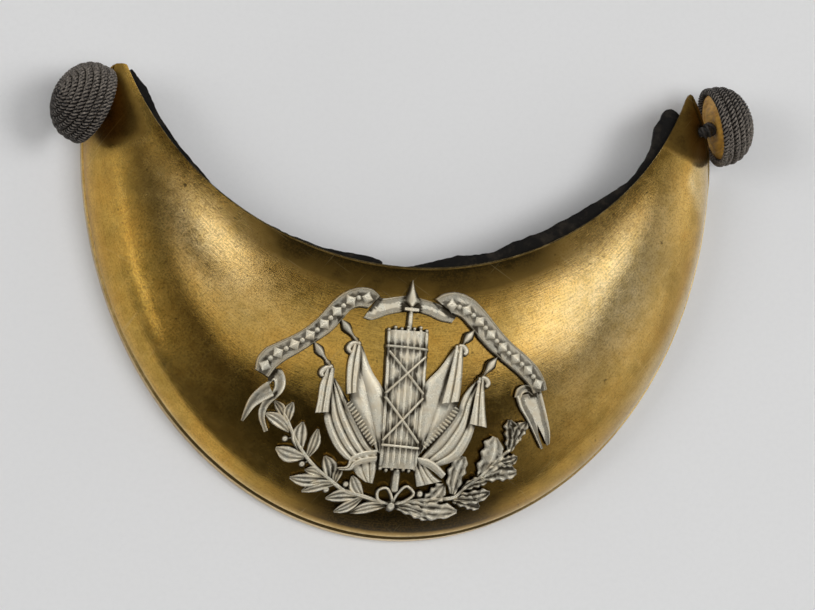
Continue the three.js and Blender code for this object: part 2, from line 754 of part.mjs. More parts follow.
// Flags as cloth between two edges
const FLAGS = [
  {
    from: [[-11.2, 11.6], [-12.1, 8.3], [-12.7, 4.6], [-13, 0.8]],
    to: [[-10.5, 11.6], [-7.9, 8.3], [-5.6, 5.6], [-4.2, 3.4]],
    pleats: 3, tall: 1.9, base: 0.4, across: 6, down: 3,
  },
  {
    from: [[-13, 1.4], [-12.6, -2.6], [-9.8, -7], [-5.2, -11.2]],
    to: [[-3.6, 5], [-3.6, 0], [-3.6, -5], [-3.6, -9.8]],
    pleats: 2, tall: 1.4, base: 0.2, across: 4, down: 4,
  },
  {
    from: [[-16.6, 6.2], [-17.6, 3.4], [-18.6, 0], [-19.4, -3.4]],
    to: [[-16, 6.2], [-15.8, 3], [-16, 0], [-16.6, -3.6]],
    pleats: 1, tall: 1.8, base: 0.5, across: 2, down: 3,
  },
  {
    from: [[-16.3, 6.2], [-17.3, -5], [-15.4, -9.6], [-11.6, -13]],
    to: [[-15.7, 6.2], [-12.6, -0.4], [-9.8, -6], [-4.8, -11]],
    pleats: 3, tall: 1.6, base: 0, across: 6, down: 3,
  },
  {
    from: [[10.5, 10.8], [7.7, 7.4], [5.6, 4.9], [3.6, 2.8]],
    to: [[11.2, 10.8], [12.4, 8.3], [12.8, 5], [12.5, 0.4]],
    pleats: 3, tall: 1.9, base: 0.4, across: 6, down: 3,
  },
  {
    from: [[3, 4.4], [3, -0.5], [2.8, -5], [2.6, -9.8]],
    to: [[12.6, 1], [11.6, -2.6], [8.5, -6.4], [4.2, -10.6]],
    pleats: 2, tall: 1.4, base: 0.2, across: 4, down: 4,
  },
  {
    from: [[16.1, 4.2], [15.6, 1.4], [15.3, -1.8], [15.1, -4.9]],
    to: [[16.7, 4.2], [17.9, 1.4], [18.5, -2], [18.9, -5.6]],
    pleats: 1, tall: 1.8, base: 0.5, across: 2, down: 3,
  },
  {
    from: [[15.7, 4.2], [11.6, -1], [8.6, -6], [3.4, -10.8]],
    to: [[16.3, 4.2], [16.6, -5.6], [14.6, -10.4], [9.8, -13.8]],
    pleats: 3, tall: 1.6, base: 0, across: 6, down: 3,
  },
  {
    from: [[-4, -10.6], [-7.4, -11.6], [-11.4, -13.2], [-13.8, -15.2]],
    to: [[-3.6, -14.4], [-5.6, -16.6], [-7, -18.2], [-9.2, -16.6]],
    pleats: 2, tall: 1.3, base: 0.3, across: 4, down: 3,
  },
  {
    from: [[2.4, -15], [3.2, -17], [5, -19], [6.8, -18.6]],
    to: [[2.4, -10.8], [5.6, -12.6], [8.6, -14], [10.4, -16.2]],
    pleats: 2, tall: 1.3, base: 0.3, across: 4, down: 3,
  },
];

function makeFlags() {
  const parts = FLAGS.map(cloth);
  FINIALS.forEach(({ tip, foot }) => {
    const widths = [0.1, 1.15, 0.75, 0.45, 0.8, 0.5];
    parts.push(strip({ path: [tip, foot], widths, tall: 1.5, base: 0.4, spans: 5 }));
  });
  TASSELS.forEach(([p, q], index) => {
    const foot = FINIALS[index].foot;
    const path = [foot, [p, q], [p + 0.1, q - 1.6]];
    parts.push(strip({ path, widths: [0.5, 0.8, 1], tall: 1.4, base: 0.6, spans: 3 }));
  });
  return parts;
}

// Wreath: leaves as [base, tip] and half width, one stem each side
const LAUREL_STEM = [[-2, -22.9], [-7.5, -21.2], [-11.3, -20.3], [-14.8, -18], [-18.3, -15.4],
  [-21.2, -12.3], [-23.4, -9.1], [-25.2, -5.4], [-26.6, -3.2]];
const OAK_STEM = [[-0.2, -23], [3.3, -22], [7.7, -21.4], [12.2, -20.6], [14.8, -19], [17.5, -16.7],
  [19.5, -14.5], [22.1, -12.2], [24.4, -9.6], [25.4, -8]];
const LAUREL = [
  { base: [-25.9, -4.9], tip: [-28.2, -1.4], half: 0.9 },
  { base: [-25.2, -6], tip: [-24.3, -1.6], half: 1.1 },
  { base: [-24.6, -7.8], tip: [-30, -4], half: 1.2 },
  { base: [-22, -11.9], tip: [-21.9, -5.8], half: 1.5 },
  { base: [-20.3, -13.2], tip: [-18.5, -7.2], half: 1.1 },
  { base: [-21, -13.3], tip: [-27.2, -11.4], half: 1.4 },
  { base: [-14.9, -17.9], tip: [-16.5, -12.9], half: 1.4 },
  { base: [-13.9, -18.7], tip: [-12.6, -15], half: 0.9 },
  { base: [-16.8, -17], tip: [-20.6, -15.9], half: 0.9 },
  { base: [-15.9, -17.9], tip: [-23.6, -17.6], half: 1.2 },
  { base: [-13.9, -18.7], tip: [-20.7, -20.4], half: 1.1 },
  { base: [-7.6, -21.2], tip: [-10.2, -17], half: 1.2 },
  { base: [-8, -21.4], tip: [-15.4, -21.8], half: 1.2 },
  { base: [-7.6, -21.5], tip: [-13.2, -24.6], half: 1 },
  { base: [-2.2, -23.1], tip: [-9.6, -24.7], half: 1 },
];
const OAK = [
  { base: [24, -9.6], tip: [25.3, -3.7], half: 1.6 },
  { base: [24.8, -8.8], tip: [28.2, -3.8], half: 1.3 },
  { base: [18.8, -15.2], tip: [21.2, -7.4], half: 2.1 },
  { base: [19.4, -14.9], tip: [27.1, -14.6], half: 1.9 },
  { base: [22, -12.4], tip: [26.7, -11.1], half: 1.3 },
  { base: [12.4, -20.3], tip: [14.3, -12.2], half: 1.8 },
  { base: [13, -20.2], tip: [21.1, -19.3], half: 1.6 },
  { base: [6.4, -21.6], tip: [10.4, -17.5], half: 1.7 },
  { base: [12.6, -20.6], tip: [19.3, -22.3], half: 1.4 },
  { base: [5.2, -21.8], tip: [14, -23.5], half: 1.7 },
  { base: [-0.2, -23], tip: [8.5, -25], half: 1 },
];
const LAUREL_LEAF = [0.3, 1, 0.85, 0.08];
const OAK_LEAF = [0.3, 0.9, 0.55, 1, 0.6, 0.75, 0.1];
const BERRIES = [
  { at: [-25.4, -9.4], stem: [-23.4, -9.1] },
  { at: [-21.3, -14.7], stem: [-19.8, -13.9] },
  { at: [-11.4, -18.8], stem: [-11.8, -20.1] },
  { at: [-15.5, -20], stem: [-14.4, -18.3] },
];
const ACORNS = [[4.9, -20.7], [18.2, -17.2]];

function leaf({ base, tip, half }, outline, index) {
  const widths = outline.map((share) => share * half);
  const spans = outline.length - 1;
  return strip({ path: [base, tip], widths, tall: 1.35, base: 0.15 + 0.2 * (index % 3), spans });
}

function makeWreath() {
  const parts = [LAUREL_STEM, OAK_STEM].map((path) => (
    strip({ path, widths: [0.7, 0.6, 0.5], tall: 1.1, base: 0.02, spans: 8 })
  ));
  LAUREL.forEach((row, index) => parts.push(leaf(row, LAUREL_LEAF, index)));
  OAK.forEach((row, index) => parts.push(leaf(row, OAK_LEAF, index)));
  BERRIES.forEach(({ at, stem }) => {
    parts.push(bead(at[0], at[1], 0.75, 1.3));
    parts.push(strip({ path: [stem, at], widths: [0.3, 0.3], tall: 0.9, base: 0.2, spans: 1 }));
  });
  ACORNS.forEach(([p, q]) => parts.push(bead(p, q, 1.1, 1.6)));
  return parts;
}

// Bow at the foot: two loops and a knot
const BOW_LOOPS = [
  [[-1.2, -22.9], [-4, -21.8], [-4.2, -20], [-2.4, -19.4], [-1, -21.4], [-1, -23]],
  [[-0.8, -22.9], [2, -22], [3.8, -20.4], [2, -18.9], [0, -20.8], [-0.8, -23]],
];

function makeBow() {
  const parts = BOW_LOOPS.map((path) => (
    strip({ path, widths: [0.5, 0.45, 0.5], tall: 1.5, base: 0.15, profile: "ridge", spans: 9 })
  ));
  parts.push(bead(-1, -23.2, 1.3, 2));
  return parts;
}

function makePins() {
  return PINS.map(({ p, q }) => {
    const top = onDome(p, q, 0.6);
    const normal = domeNormal(p + EMBLEM_X, q + EMBLEM_Y);
    const end = onDome(p, q, -GAP).addScaledVector(normal, -BRASS);
    return bar(end, top, PIN_RADIUS, 8);
  });
}

function makeEmblem() {
  const ornament = RIBBON.slice(0, 2).flatMap(ribbonOrnament);
  const parts = makeBundle().concat(makeFlags(), RIBBON.map(strip), ornament, makeWreath(), makeBow());
  return join(parts.concat(makePins()));
}

// Materials and nodes
const brass = new THREE.MeshStandardMaterial({ color: 0xb98d3e, roughness: 0.28, metalness: 1 });
const silver = new THREE.MeshStandardMaterial({ color: 0xc3bfb4, roughness: 0.38, metalness: 1 });
const leather = new THREE.MeshStandardMaterial({ color: 0x191715, roughness: 0.9, metalness: 0 });
const cord = new THREE.MeshStandardMaterial({ color: 0x2f2d2c, roughness: 0.7, metalness: 0 });
const wood = new THREE.MeshStandardMaterial({ color: 0x9a7340, roughness: 0.6, metalness: 0 });
const thread = new THREE.MeshStandardMaterial({ color: 0x1d1a18, roughness: 0.85, metalness: 0 });

const group = new THREE.Group();
group.name = "gorget";

function addNode(name, geometry, material) {
  const mesh = new THREE.Mesh(geometry, material);
  mesh.name = name;
  group.add(mesh);
}

addNode("plate", makePlate(), brass);
addNode("lining", makeLining(), leather);
addNode("emblem", makeEmblem(), silver);
Object.entries(BUTTONS).forEach(([side, button]) => {
  addNode(`button_${side}_cover`, makeCover(button), cord);
  addNode(`button_${side}_mould`, makeMould(button), wood);
  addNode(`button_${side}_shank`, makeShank(button), thread);
});

// Origin at the bottom middle of the whole object
const box = new THREE.Box3().setFromObject(group);
const middle = box.getCenter(new THREE.Vector3());
group.children.forEach((mesh) => mesh.geometry.translate(-middle.x, -middle.y, -box.min.z));

export default group;
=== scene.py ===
import math
import bpy
import numpy as np
from mathutils import Matrix, Vector


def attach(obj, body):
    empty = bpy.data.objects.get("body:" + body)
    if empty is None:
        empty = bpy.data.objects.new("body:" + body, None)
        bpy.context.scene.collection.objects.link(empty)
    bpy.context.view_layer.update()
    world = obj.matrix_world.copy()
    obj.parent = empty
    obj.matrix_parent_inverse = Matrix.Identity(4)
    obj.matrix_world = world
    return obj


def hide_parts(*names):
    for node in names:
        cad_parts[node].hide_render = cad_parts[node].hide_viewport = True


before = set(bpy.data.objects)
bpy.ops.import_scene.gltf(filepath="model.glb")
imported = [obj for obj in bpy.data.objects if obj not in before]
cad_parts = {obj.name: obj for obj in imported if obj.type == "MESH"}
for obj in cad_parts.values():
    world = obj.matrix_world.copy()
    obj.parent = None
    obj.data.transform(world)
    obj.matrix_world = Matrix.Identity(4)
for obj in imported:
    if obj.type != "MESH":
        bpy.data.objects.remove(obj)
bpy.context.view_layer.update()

# Officer's gorget: brass crescent, cast silver trophy, leather lining, two cord-covered buttons

MM = 0.001
TINY = 1e-6

# Pieces are drawn in millimetres about the middle of the plate's outer ellipse, which is here in the CAD
CENTRE = np.array([0.05, 36.88, 0.0])

# Plate
OUTER_HALF_WIDTH = 73.0
OUTER_DEPTH = 90.0
NECK_RADIUS = 69.0
NECK_LOWEST_Y = -31.0
NECK_HEIGHT_MIDDLE = 23.0
NECK_HEIGHT_HORN = 13.0
NECK_ANGLE = math.radians(72)
OUTER_ANGLE = math.radians(100)
ROUNDNESS_MIDDLE = 2.2
ROUNDNESS_HORN = 1.7
BRASS = 1.0
RIM_HEIGHT = 2.7
RIM_RAISE = 0.25
RIM_SLOPE = (0.1, -0.35)
GROOVE_DEPTH = 0.35
GROOVE_HEIGHT = 0.5
GROOVE_AT = RIM_HEIGHT + 0.4 * GROOVE_HEIGHT
GROOVE_HALF = 0.24
RIM_BAND = RIM_HEIGHT + GROOVE_HEIGHT + 0.5
FOOT_ROUND = 0.16
FOOT_BAND = 0.35
SLIM_SECTION = 30
LEFT_HORN = {"leave": 0.875, "tip": 0.966, "tip_angle": 20, "fullness": 2.2}
RIGHT_HORN = {"leave": 0.85, "tip": 0.968, "tip_angle": 8, "fullness": 1.3}
TIP_HALF_ANGLE = 3
TIP_ROUNDS_FROM = 0.8
HORN_ROWS_SHARE = 0.1
PLATE_ALONG = 260
PLATE_FACE_ROWS = 34
NECK_ROW_ANGLE = 0.4
PLATE_RIM_ROWS = 14
EDGE_ROUND = 0.4
EDGE_STEPS = 4
EDGE_ANGLE = math.radians(50)

# Lining
LINING_GAP = 0.75
LEATHER = 1.2
LINING_END_ANGLE = 74
LINING_RIM_CLEAR = 10
LINING_HORN_CLEAR = 8
LINING_FROM = -0.94
LINING_TO = 0.91
LINING_ALONG = 420
LINING_ROWS = 26
LINING_FRONT_SHARE = 0.14
LINING_FRONT_ANGLE = 2.0
LINING_NOTCH_ANGLE = 2.5
TORN_DEPTH = 0.14
TORN_LEAST = 0.15
LUMP_HEIGHT = 0.1
CURL_HEIGHT = 0.3
CURL_REACH = 3.3
# Ragged front edge: place along the neck, and how far it stands past the brass
LINING_EDGE = [
    (-0.94, 0.9), (-0.88, 2.2), (-0.80, 1.6), (-0.72, 1.2), (-0.62, 0.9), (-0.55, 0.2), (-0.42, 0.2),
    (-0.36, 0.4), (-0.30, 0.8), (-0.24, 0.8), (-0.19, 1.1), (-0.16, 1.5), (-0.12, 1.5), (-0.09, 1.2),
    (-0.08, 0.7), (-0.07, -1.6), (-0.03, -1.6), (-0.02, 0.3), (0.01, 0.9), (0.05, 1.6), (0.07, 2.0),
    (0.12, 2.6), (0.17, 2.3), (0.22, 2.3), (0.28, 3.1), (0.40, 3.3), (0.53, 3.0), (0.60, 2.2),
    (0.65, 1.2), (0.70, 1.3), (0.74, 1.5), (0.79, 2.3), (0.83, 3.5), (0.88, 3.6), (0.90, 3.1), (0.91, 2.0),
]

# Buttons
BUTTON_RADIUS = 9.3
BUTTON_HEIGHT = 9.2
COVER_CORE_STEPS = (48, 24)
MOULD_BACK = 1.6
MOULD_SIDES = 64
MOULD_PROFILE = [(1.2, 0.35), (1.5, 0.02), (5.0, -0.05), (5.3, 0.12), (5.6, 0.12), (5.9, -0.05),
                 (7.0, 0.0), (7.45, 0.25), (7.45, 1.3), (6.9, 1.5), (6.2, 3.7), (3.6, 5.9)]
PIERCED_RADIUS = 1.4
DRILL_LENGTH = 12
DRILL_SIDES = 32
DRILL_MIDDLE = 2
SHANK_RADIUS = 1.05
SHANK_STRANDS = 5
SHANK_LAY = 4.2
SHANK_STEPS = 30
SHANK_OFFSET = 0.66
SHANK_LEVELS = (-4.4, -2.0, 0.8)
SHANK_END = 0.6
SHANK_STRAIGHT = 0.8
SHANK_SIDEWAYS = np.array([0.3, 0.9, 0.2])
WRAP_FROM = 5.0
WRAP_SHORT = 0.9
WRAP_PITCH = 0.85
WRAP_RADIUS = 1.3
WRAP_THREAD = 0.42
KNOT_LOOPS = 4
KNOT_STEPS = 40
KNOT_RADIUS = 1.35
KNOT_THREAD = 0.75
KNOT_STEP = 0.35
KNOT_DROP = 1.6
# The last entry of each button sets how dark its painted shadow makes the brass round its hole
BUTTONS = {
    "left": {"back": (-71.4, 3.2, 13), "axis": (-0.87, 0.31, 0.38), "hole": (-68.9, 2.3), "arch": 0,
             "painted_shadow": 0.15},
    "right": {"back": (71.5, 6.9, 10.8), "axis": (0.96, 0.24, 0), "hole": (68.4, 5.6), "arch": 1.4,
              "painted_shadow": 0.05},
}
CORD_PITCH = 1.6
CORD_RADIUS = 0.84
CORD_LAY = 2.7
CORD_STEPS = 14 / CORD_LAY
CORD_STRANDS = 3
CORD_OFFSET = 0.55
STRAND_SIZE = 0.42
CORD_START = 0.1
CORD_TOP_LEAN = 0.03
WALL_TOP = 2.0
ARC_STEPS = 200
SPIRAL_STEPS = 3000
COVER_DEPTH = 1.5 * CORD_RADIUS
COVER_MIDDLE = np.array([0, 0, MOULD_BACK - 2.0])

# Emblem, drawn flat as p to the right and q up from its own centre, and laid just clear of the brass
EMBLEM_MIDDLE = (-1.5, -60.0)
EMBLEM_GAP = 0.3


def leave_edit():
    bpy.ops.object.mode_set(mode="OBJECT")


def let_go():
    if bpy.context.object and bpy.context.object.mode != "OBJECT":
        leave_edit()
    bpy.ops.object.select_all(action="DESELECT")


def edit_all():
    bpy.ops.object.mode_set(mode="EDIT")
    bpy.ops.mesh.select_all(action="SELECT")


def pick(*pieces):
    let_go()
    for piece in pieces:
        piece.select_set(True)
    bpy.context.view_layer.objects.active = pieces[0]


def named(name):
    bpy.context.object.name = name
    return bpy.context.object


def mix(a, b, share):
    return a + (b - a) * share


def ease(low, high, value):
    share = np.clip((value - low) / (high - low), 0, 1)
    return share * share * (3 - 2 * share)


def direction(vectors):
    return vectors / np.linalg.norm(vectors, axis=-1, keepdims=True)


def run_lengths(points):
    return np.concatenate([[0], np.cumsum(np.linalg.norm(np.diff(points, axis=0), axis=1))])


def read_along(at, known, points):
    return np.stack([np.interp(at, known, column) for column in points.T], -1)


# Surface of the plate: place runs from the left horn to the right, angle from neck edge to outer edge
PLACE_STEP = 0.004
ANGLE_STEP = 0.5
LEVEL_ANGLES = (86, 89)
UPRIGHT_ANGLES = (3, 0.5)
UP = np.array([0.0, 0.0, 1.0])
SEARCH_REACH = 1.05
SEARCH_ROUNDS = 40
LAST_SHARE = 0.999
SLOPE_STEP = 0.2


def roundness(place):
    return mix(ROUNDNESS_MIDDLE, ROUNDNESS_HORN, place * place)


def neck_edge(place):
    turn = NECK_ANGLE * place
    x = NECK_RADIUS * np.sin(turn)
    y = NECK_LOWEST_Y + NECK_RADIUS * (1 - np.cos(turn))
    return x, y, mix(NECK_HEIGHT_MIDDLE, NECK_HEIGHT_HORN, place * place)


def outer_edge(place):
    turn = OUTER_ANGLE * place
    return OUTER_HALF_WIDTH * np.sin(turn), -OUTER_DEPTH * np.cos(turn)


def chord(place):
    neck_x, neck_y, _neck_z = neck_edge(place)
    outer_x, outer_y = outer_edge(place)
    return neck_x, neck_y, outer_x - neck_x, outer_y - neck_y


def skin(place, angle):
    neck_x, neck_y, neck_z = neck_edge(place)
    outer_x, outer_y = outer_edge(place)
    power = 2 / roundness(place)
    turn = np.radians(np.clip(angle, 0, 90))
    across = np.sin(turn) ** power
    up = np.maximum(np.cos(turn), 0) ** power
    return np.stack([mix(neck_x, outer_x, across), mix(neck_y, outer_y, across), neck_z * up], -1)


def skin_normal(place, angle):
    here = np.clip(angle, 1, 89)
    along = skin(place + PLACE_STEP, here) - skin(place - PLACE_STEP, here)
    across = skin(place, here + ANGLE_STEP) - skin(place, here - ANGLE_STEP)
    normal = np.cross(across, along)
    normal[..., 2] *= 1 - ease(*LEVEL_ANGLES, angle)
    upright = ease(*UPRIGHT_ANGLES, angle)[..., None]
    return direction(mix(direction(normal), UP, upright))


def locate(x, y):
    low = np.full(np.shape(x), -SEARCH_REACH)
    high = np.full(np.shape(x), SEARCH_REACH)
    for _round in range(SEARCH_ROUNDS):
        middle = (low + high) / 2
        neck_x, neck_y, dx, dy = chord(middle)
        cross = dx * (y - neck_y) - dy * (x - neck_x)
        low = np.where(cross > 0, middle, low)
        high = np.where(cross > 0, high, middle)
    place = (low + high) / 2
    neck_x, neck_y, dx, dy = chord(place)
    share = ((x - neck_x) * dx + (y - neck_y) * dy) / (dx * dx + dy * dy)
    return place, np.clip(share, 0, LAST_SHARE)


def dome_height(x, y):
    place, share = locate(x, y)
    power = roundness(place)
    return neck_edge(place)[2] * (1 - share ** power) ** (1 / power)


def dome_normal(x, y):
    step = SLOPE_STEP
    slope_x = (dome_height(x + step, y) - dome_height(x - step, y)) / (2 * step)
    slope_y = (dome_height(x, y + step) - dome_height(x, y - step)) / (2 * step)
    return Vector((-float(slope_x), -float(slope_y), 1)).normalized()


def horn_shares(place):
    for horn, side in ((LEFT_HORN, place < 0), (RIGHT_HORN, place >= 0)):
        gone = (np.abs(place) - horn["leave"]) / (horn["tip"] - horn["leave"])
        yield horn, side, np.clip(gone, 0, 1)


def section_range(place):
    start = np.zeros_like(place)
    end = np.full_like(place, 90.0)
    for horn, side, gone in horn_shares(place):
        tapered = mix(horn["tip_angle"] + TIP_HALF_ANGLE, 90, 1 - gone ** horn["fullness"])
        rounding = np.maximum((gone - TIP_ROUNDS_FROM) / (1 - TIP_ROUNDS_FROM), 0)
        end = np.where(side, tapered, end)
        start = np.where(side, max(horn["tip_angle"] - TIP_HALF_ANGLE, 0) * rounding ** 2, start)
    return start, end


# Slabs: a grid primitive extruded once, whose corners give (across, along, layer)
def start_slab(name, across, along):
    let_go()
    bpy.ops.mesh.primitive_grid_add(x_subdivisions=across, y_subdivisions=along, size=1,
                                    location=(0.5, 0.5, 0))
    piece = named(name)
    bpy.ops.object.transform_apply(location=True, rotation=True, scale=True)
    edit_all()
    bpy.ops.mesh.extrude_region_move(TRANSFORM_OT_translate={"value": (0, 0, 1)})
    leave_edit()
    return piece, *corners(piece).T


def half_ball(name, segments, rings):
    let_go()
    bpy.ops.mesh.primitive_uv_sphere_add(segments=segments, ring_count=rings, radius=1, location=(0, 0, 0))
    piece = named(name)
    edit_all()
    bpy.ops.mesh.bisect(plane_co=(0, 0, 0), plane_no=(0, 0, 1), clear_inner=True, use_fill=True)
    leave_edit()
    return piece


def copy_of(pattern):
    pick(pattern)
    bpy.ops.object.duplicate()
    piece = bpy.context.object
    return piece, *corners(piece).T


def corners(piece):
    flat = np.empty(len(piece.data.vertices) * 3, dtype=np.float32)
    piece.data.vertices.foreach_get("co", flat)
    return flat.reshape(-1, 3).astype(float)


def set_corners(piece, points):
    piece.data.vertices.foreach_set("co", np.asarray(points, dtype=np.float32).ravel())
    piece.data.update()


def into_frame(points):
    return (points + CENTRE) * MM


def face_out(piece):
    pick(piece)
    edit_all()
    bpy.ops.mesh.normals_make_consistent(inside=False)
    leave_edit()


def smooth(piece, degrees):
    pick(piece)
    bpy.ops.object.shade_smooth_by_angle(angle=math.radians(degrees))


def finish_modifier(piece, kind, **settings):
    pick(piece)
    modifier = piece.modifiers.new(kind.lower(), kind)
    for key, value in settings.items():
        setattr(modifier, key, value)
    bpy.ops.object.modifier_apply(modifier=modifier.name)


def cut_or_join(piece, other, operation):
    finish_modifier(piece, "BOOLEAN", object=other, operation=operation, solver="MANIFOLD")
    bpy.data.objects.remove(other)


def join(name, pieces):
    pick(*pieces)
    bpy.ops.object.join()
    return named(name)


def paint(piece, finish):
    piece.data.materials.clear()
    piece.data.materials.append(finish)


def note(piece, name, values):
    attribute = piece.data.attributes.new(name, "FLOAT", "POINT")
    attribute.data.foreach_set("value", np.asarray(values, dtype=np.float32))


# Plate
def plate_places(share):
    ends = HORN_ROWS_SHARE
    left = np.sin((1 - np.clip(share / ends, 0, 1)) * math.pi / 2)
    right = np.sin(np.clip((share - 1 + ends) / ends, 0, 1) * math.pi / 2)
    middle = np.clip((share - ends) / (1 - 2 * ends), 0, 1)
    place = mix(-LEFT_HORN["leave"], RIGHT_HORN["leave"], middle)
    place = place - left * (LEFT_HORN["tip"] - LEFT_HORN["leave"])
    return place + right * (RIGHT_HORN["tip"] - RIGHT_HORN["leave"])


def make_plate():
    rows = PLATE_FACE_ROWS + PLATE_RIM_ROWS
    piece, across, along, layer = start_slab("gorget_plate", rows, PLATE_ALONG)
    place = plate_places(along)
    start, end = section_range(place)
    room = np.minimum(1, (end - start) / SLIM_SECTION)
    band = np.degrees(RIM_BAND / neck_edge(place)[2]) * room
    face_share = PLATE_FACE_ROWS / rows
    face_angle = mix(start, end - band, across / face_share)
    first_row = np.round(across * rows) == 1
    face_angle = np.where(first_row, np.minimum(face_angle, start + NECK_ROW_ANGLE), face_angle)
    rim_share = (across - face_share) / (1 - face_share)
    angle = np.where(across <= face_share + TINY, face_angle, end - band * (1 - rim_share))
    in_from_edge = (end - angle) / np.maximum(band, TINY) * RIM_BAND
    groove = -GROOVE_DEPTH * np.exp(-((in_from_edge - GROOVE_AT) / GROOVE_HALF) ** 2)
    raised = RIM_RAISE * ease(RIM_HEIGHT + RIM_SLOPE[0], RIM_HEIGHT + RIM_SLOPE[1], in_from_edge)
    rounded = -FOOT_ROUND * ease(FOOT_BAND, 0, in_from_edge)
    lift = np.where(layer > 0.5, (groove + raised + rounded) * room, -BRASS)
    set_corners(piece, into_frame(skin(place, angle) + skin_normal(place, angle) * lift[:, None]))
    face_out(piece)
    return piece


# Lining
def wander(values, seed, coarse, fine):
    rng = np.random.default_rng(seed)
    result = np.zeros_like(values)
    for pitch, size in ((coarse, 1.0), (coarse / 3, 0.5), (fine, 0.35)):
        knots = np.arange(-1.2, 1.2 + pitch, pitch)
        result += size * np.interp(values, knots, rng.uniform(-1, 1, len(knots)))
    return result


def make_lining():
    piece, across, along, layer = start_slab("gorget_lining", LINING_ROWS, LINING_ALONG)
    place = mix(LINING_FROM, LINING_TO, along)
    near = np.zeros_like(place)
    for _horn, side, gone in horn_shares(place):
        near = np.where(side, gone, near)
    limit = section_range(place)[1] - LINING_RIM_CLEAR - LINING_HORN_CLEAR * near
    last = np.minimum(LINING_END_ANGLE, limit)
    past = np.interp(place, *np.array(LINING_EDGE).T)
    torn = TORN_DEPTH * wander(place, 11, 0.03, 0.006)
    past = np.where(past > 0, np.maximum(past + torn, TORN_LEAST), past)
    turn = NECK_ANGLE * place
    outward = np.stack([-np.sin(turn), np.cos(turn), np.zeros_like(turn)], -1)
    front = across / LINING_FRONT_SHARE
    under = (across - LINING_FRONT_SHARE) / (1 - LINING_FRONT_SHARE)
    on_front = across < LINING_FRONT_SHARE
    angle = np.where(on_front, LINING_FRONT_ANGLE * front, mix(LINING_FRONT_ANGLE, last, under))
    angle = angle + np.where(past < 0, LINING_NOTCH_ANGLE * (1 - across), 0)
    beyond = np.where(on_front, np.maximum(past, 0) * (1 - front), 0)
    lumps = LUMP_HEIGHT * wander(place * 0.9 + across * 0.7, 5, 0.05, 0.02)
    depth = np.where(layer > 0.5, 0, LEATHER)
    curl = CURL_HEIGHT * wander(place, 3, 0.06, 0.02) * (beyond / CURL_REACH)
    lift = -BRASS - LINING_GAP - depth + np.minimum(lumps, LUMP_HEIGHT)
    points = skin(place, angle) + skin_normal(place, angle) * lift[:, None] + outward * beyond[:, None]
    points[:, 2] += curl
    set_corners(piece, into_frame(points))
    face_out(piece)
    return piece


# Holes through the horns for the shanks
def pierce(piece):
    for button in BUTTONS.values():
        x, y = button["hole"]
        normal = dome_normal(x, y)
        middle = Vector((x, y, float(dome_height(x, y)))) - DRILL_MIDDLE * normal
        let_go()
        bpy.ops.mesh.primitive_cylinder_add(vertices=DRILL_SIDES, radius=PIERCED_RADIUS * MM,
                                            depth=DRILL_LENGTH * MM,
                                            location=into_frame(np.array(middle)),
                                            rotation=normal.to_track_quat("Z", "Y").to_euler())
        cut_or_join(piece, bpy.context.object, "DIFFERENCE")


# Drawing on the dome
STRAIGHT_STEPS = 50
CURVE_STEPS = 400


def curve_through(knots):
    steps = np.sqrt(np.linalg.norm(np.diff(knots, axis=0), axis=1))
    at = np.concatenate([[0], np.cumsum(steps)])
    slopes = np.gradient(knots, at, axis=0)
    fine = np.linspace(0, at[-1], CURVE_STEPS)
    index = np.clip(np.searchsorted(at, fine, side="right") - 1, 0, len(at) - 2)
    wide = (at[index + 1] - at[index])[:, None]
    u = (fine - at[index])[:, None] / wide
    leaving = (u ** 3 - 2 * u ** 2 + u) * wide * slopes[index]
    arriving = (u ** 3 - u ** 2) * wide * slopes[index + 1]
    return mix(knots[index], knots[index + 1], 3 * u ** 2 - 2 * u ** 3) + leaving + arriving


def along_path(points, shares):
    knots = np.array(points, dtype=float)
    if len(knots) == 2:
        dense = mix(knots[0], knots[1], np.linspace(0, 1, STRAIGHT_STEPS)[:, None])
    else:
        dense = curve_through(knots)
    length = run_lengths(dense)
    share = length / length[-1]
    way = np.gradient(dense, length, axis=0)
    return read_along(shares, share, dense), direction(read_along(shares, share, way))


def spread(values, shares):
    return np.interp(shares, np.linspace(0, 1, len(values)), values)


def drape(piece, p, q, height):
    x = p + EMBLEM_MIDDLE[0]
    y = q + EMBLEM_MIDDLE[1]
    z = dome_height(x, y) + EMBLEM_GAP + height
    set_corners(piece, into_frame(np.stack([x, y, z], -1)))
    face_out(piece)
    return piece


# Sections of the cast work across a strip, from -1 to 1
def half_round(side, share):
    ends = np.sqrt(np.clip(np.minimum(share, 1 - share) * 30, 0.2, 1))
    return np.sqrt(np.maximum(1 - side * side, 0)) * ends


def raised_edges(ground, foot, top, drop, brink):
    def section(side, share):
        size = np.abs(side)
        return ground + (1 - ground) * ease(foot, top, size) - drop * ease(brink, 1, size)
    return section


bordered = raised_edges(0.77, 0.78, 0.86, 0.3, 0.93)
rimmed = raised_edges(0.62, 0.80, 0.88, 0.25, 0.95)


def soft_flat(side, share):
    return 1 - 0.35 * ease(0.7, 1, np.abs(side))


def keeled(side, share):
    return 0.35 + 0.65 * (1 - np.abs(side) ** 1.4)


def hollow_band(side, share):
    size = np.abs(side)
    return 0.5 + 0.5 * size ** 2 - 0.3 * ease(0.9, 1, size)


def left_edged(side, share):
    return 0.62 + 0.38 * ease(-0.45, -0.7, side) - 0.3 * ease(-0.92, -1, side)


def right_edged(side, share):
    return left_edged(-side, share)


def fringed(side, share):
    return (0.80 + 0.20 * np.cos(2 * math.pi * 13 * share + side)) * (1 - 0.3 * side ** 4)


def folded(folds, depth):
    def section(side, share):
        turn = (side + 1) / 2 * folds
        crest = np.sin(math.pi * (turn % 1) ** 0.7)
        hem = 0.5 * ease(0.90, 0.96, np.abs(side)) - 0.2 * ease(0.97, 1, np.abs(side))
        return 1 - depth + depth * np.maximum(crest, hem)
    return section


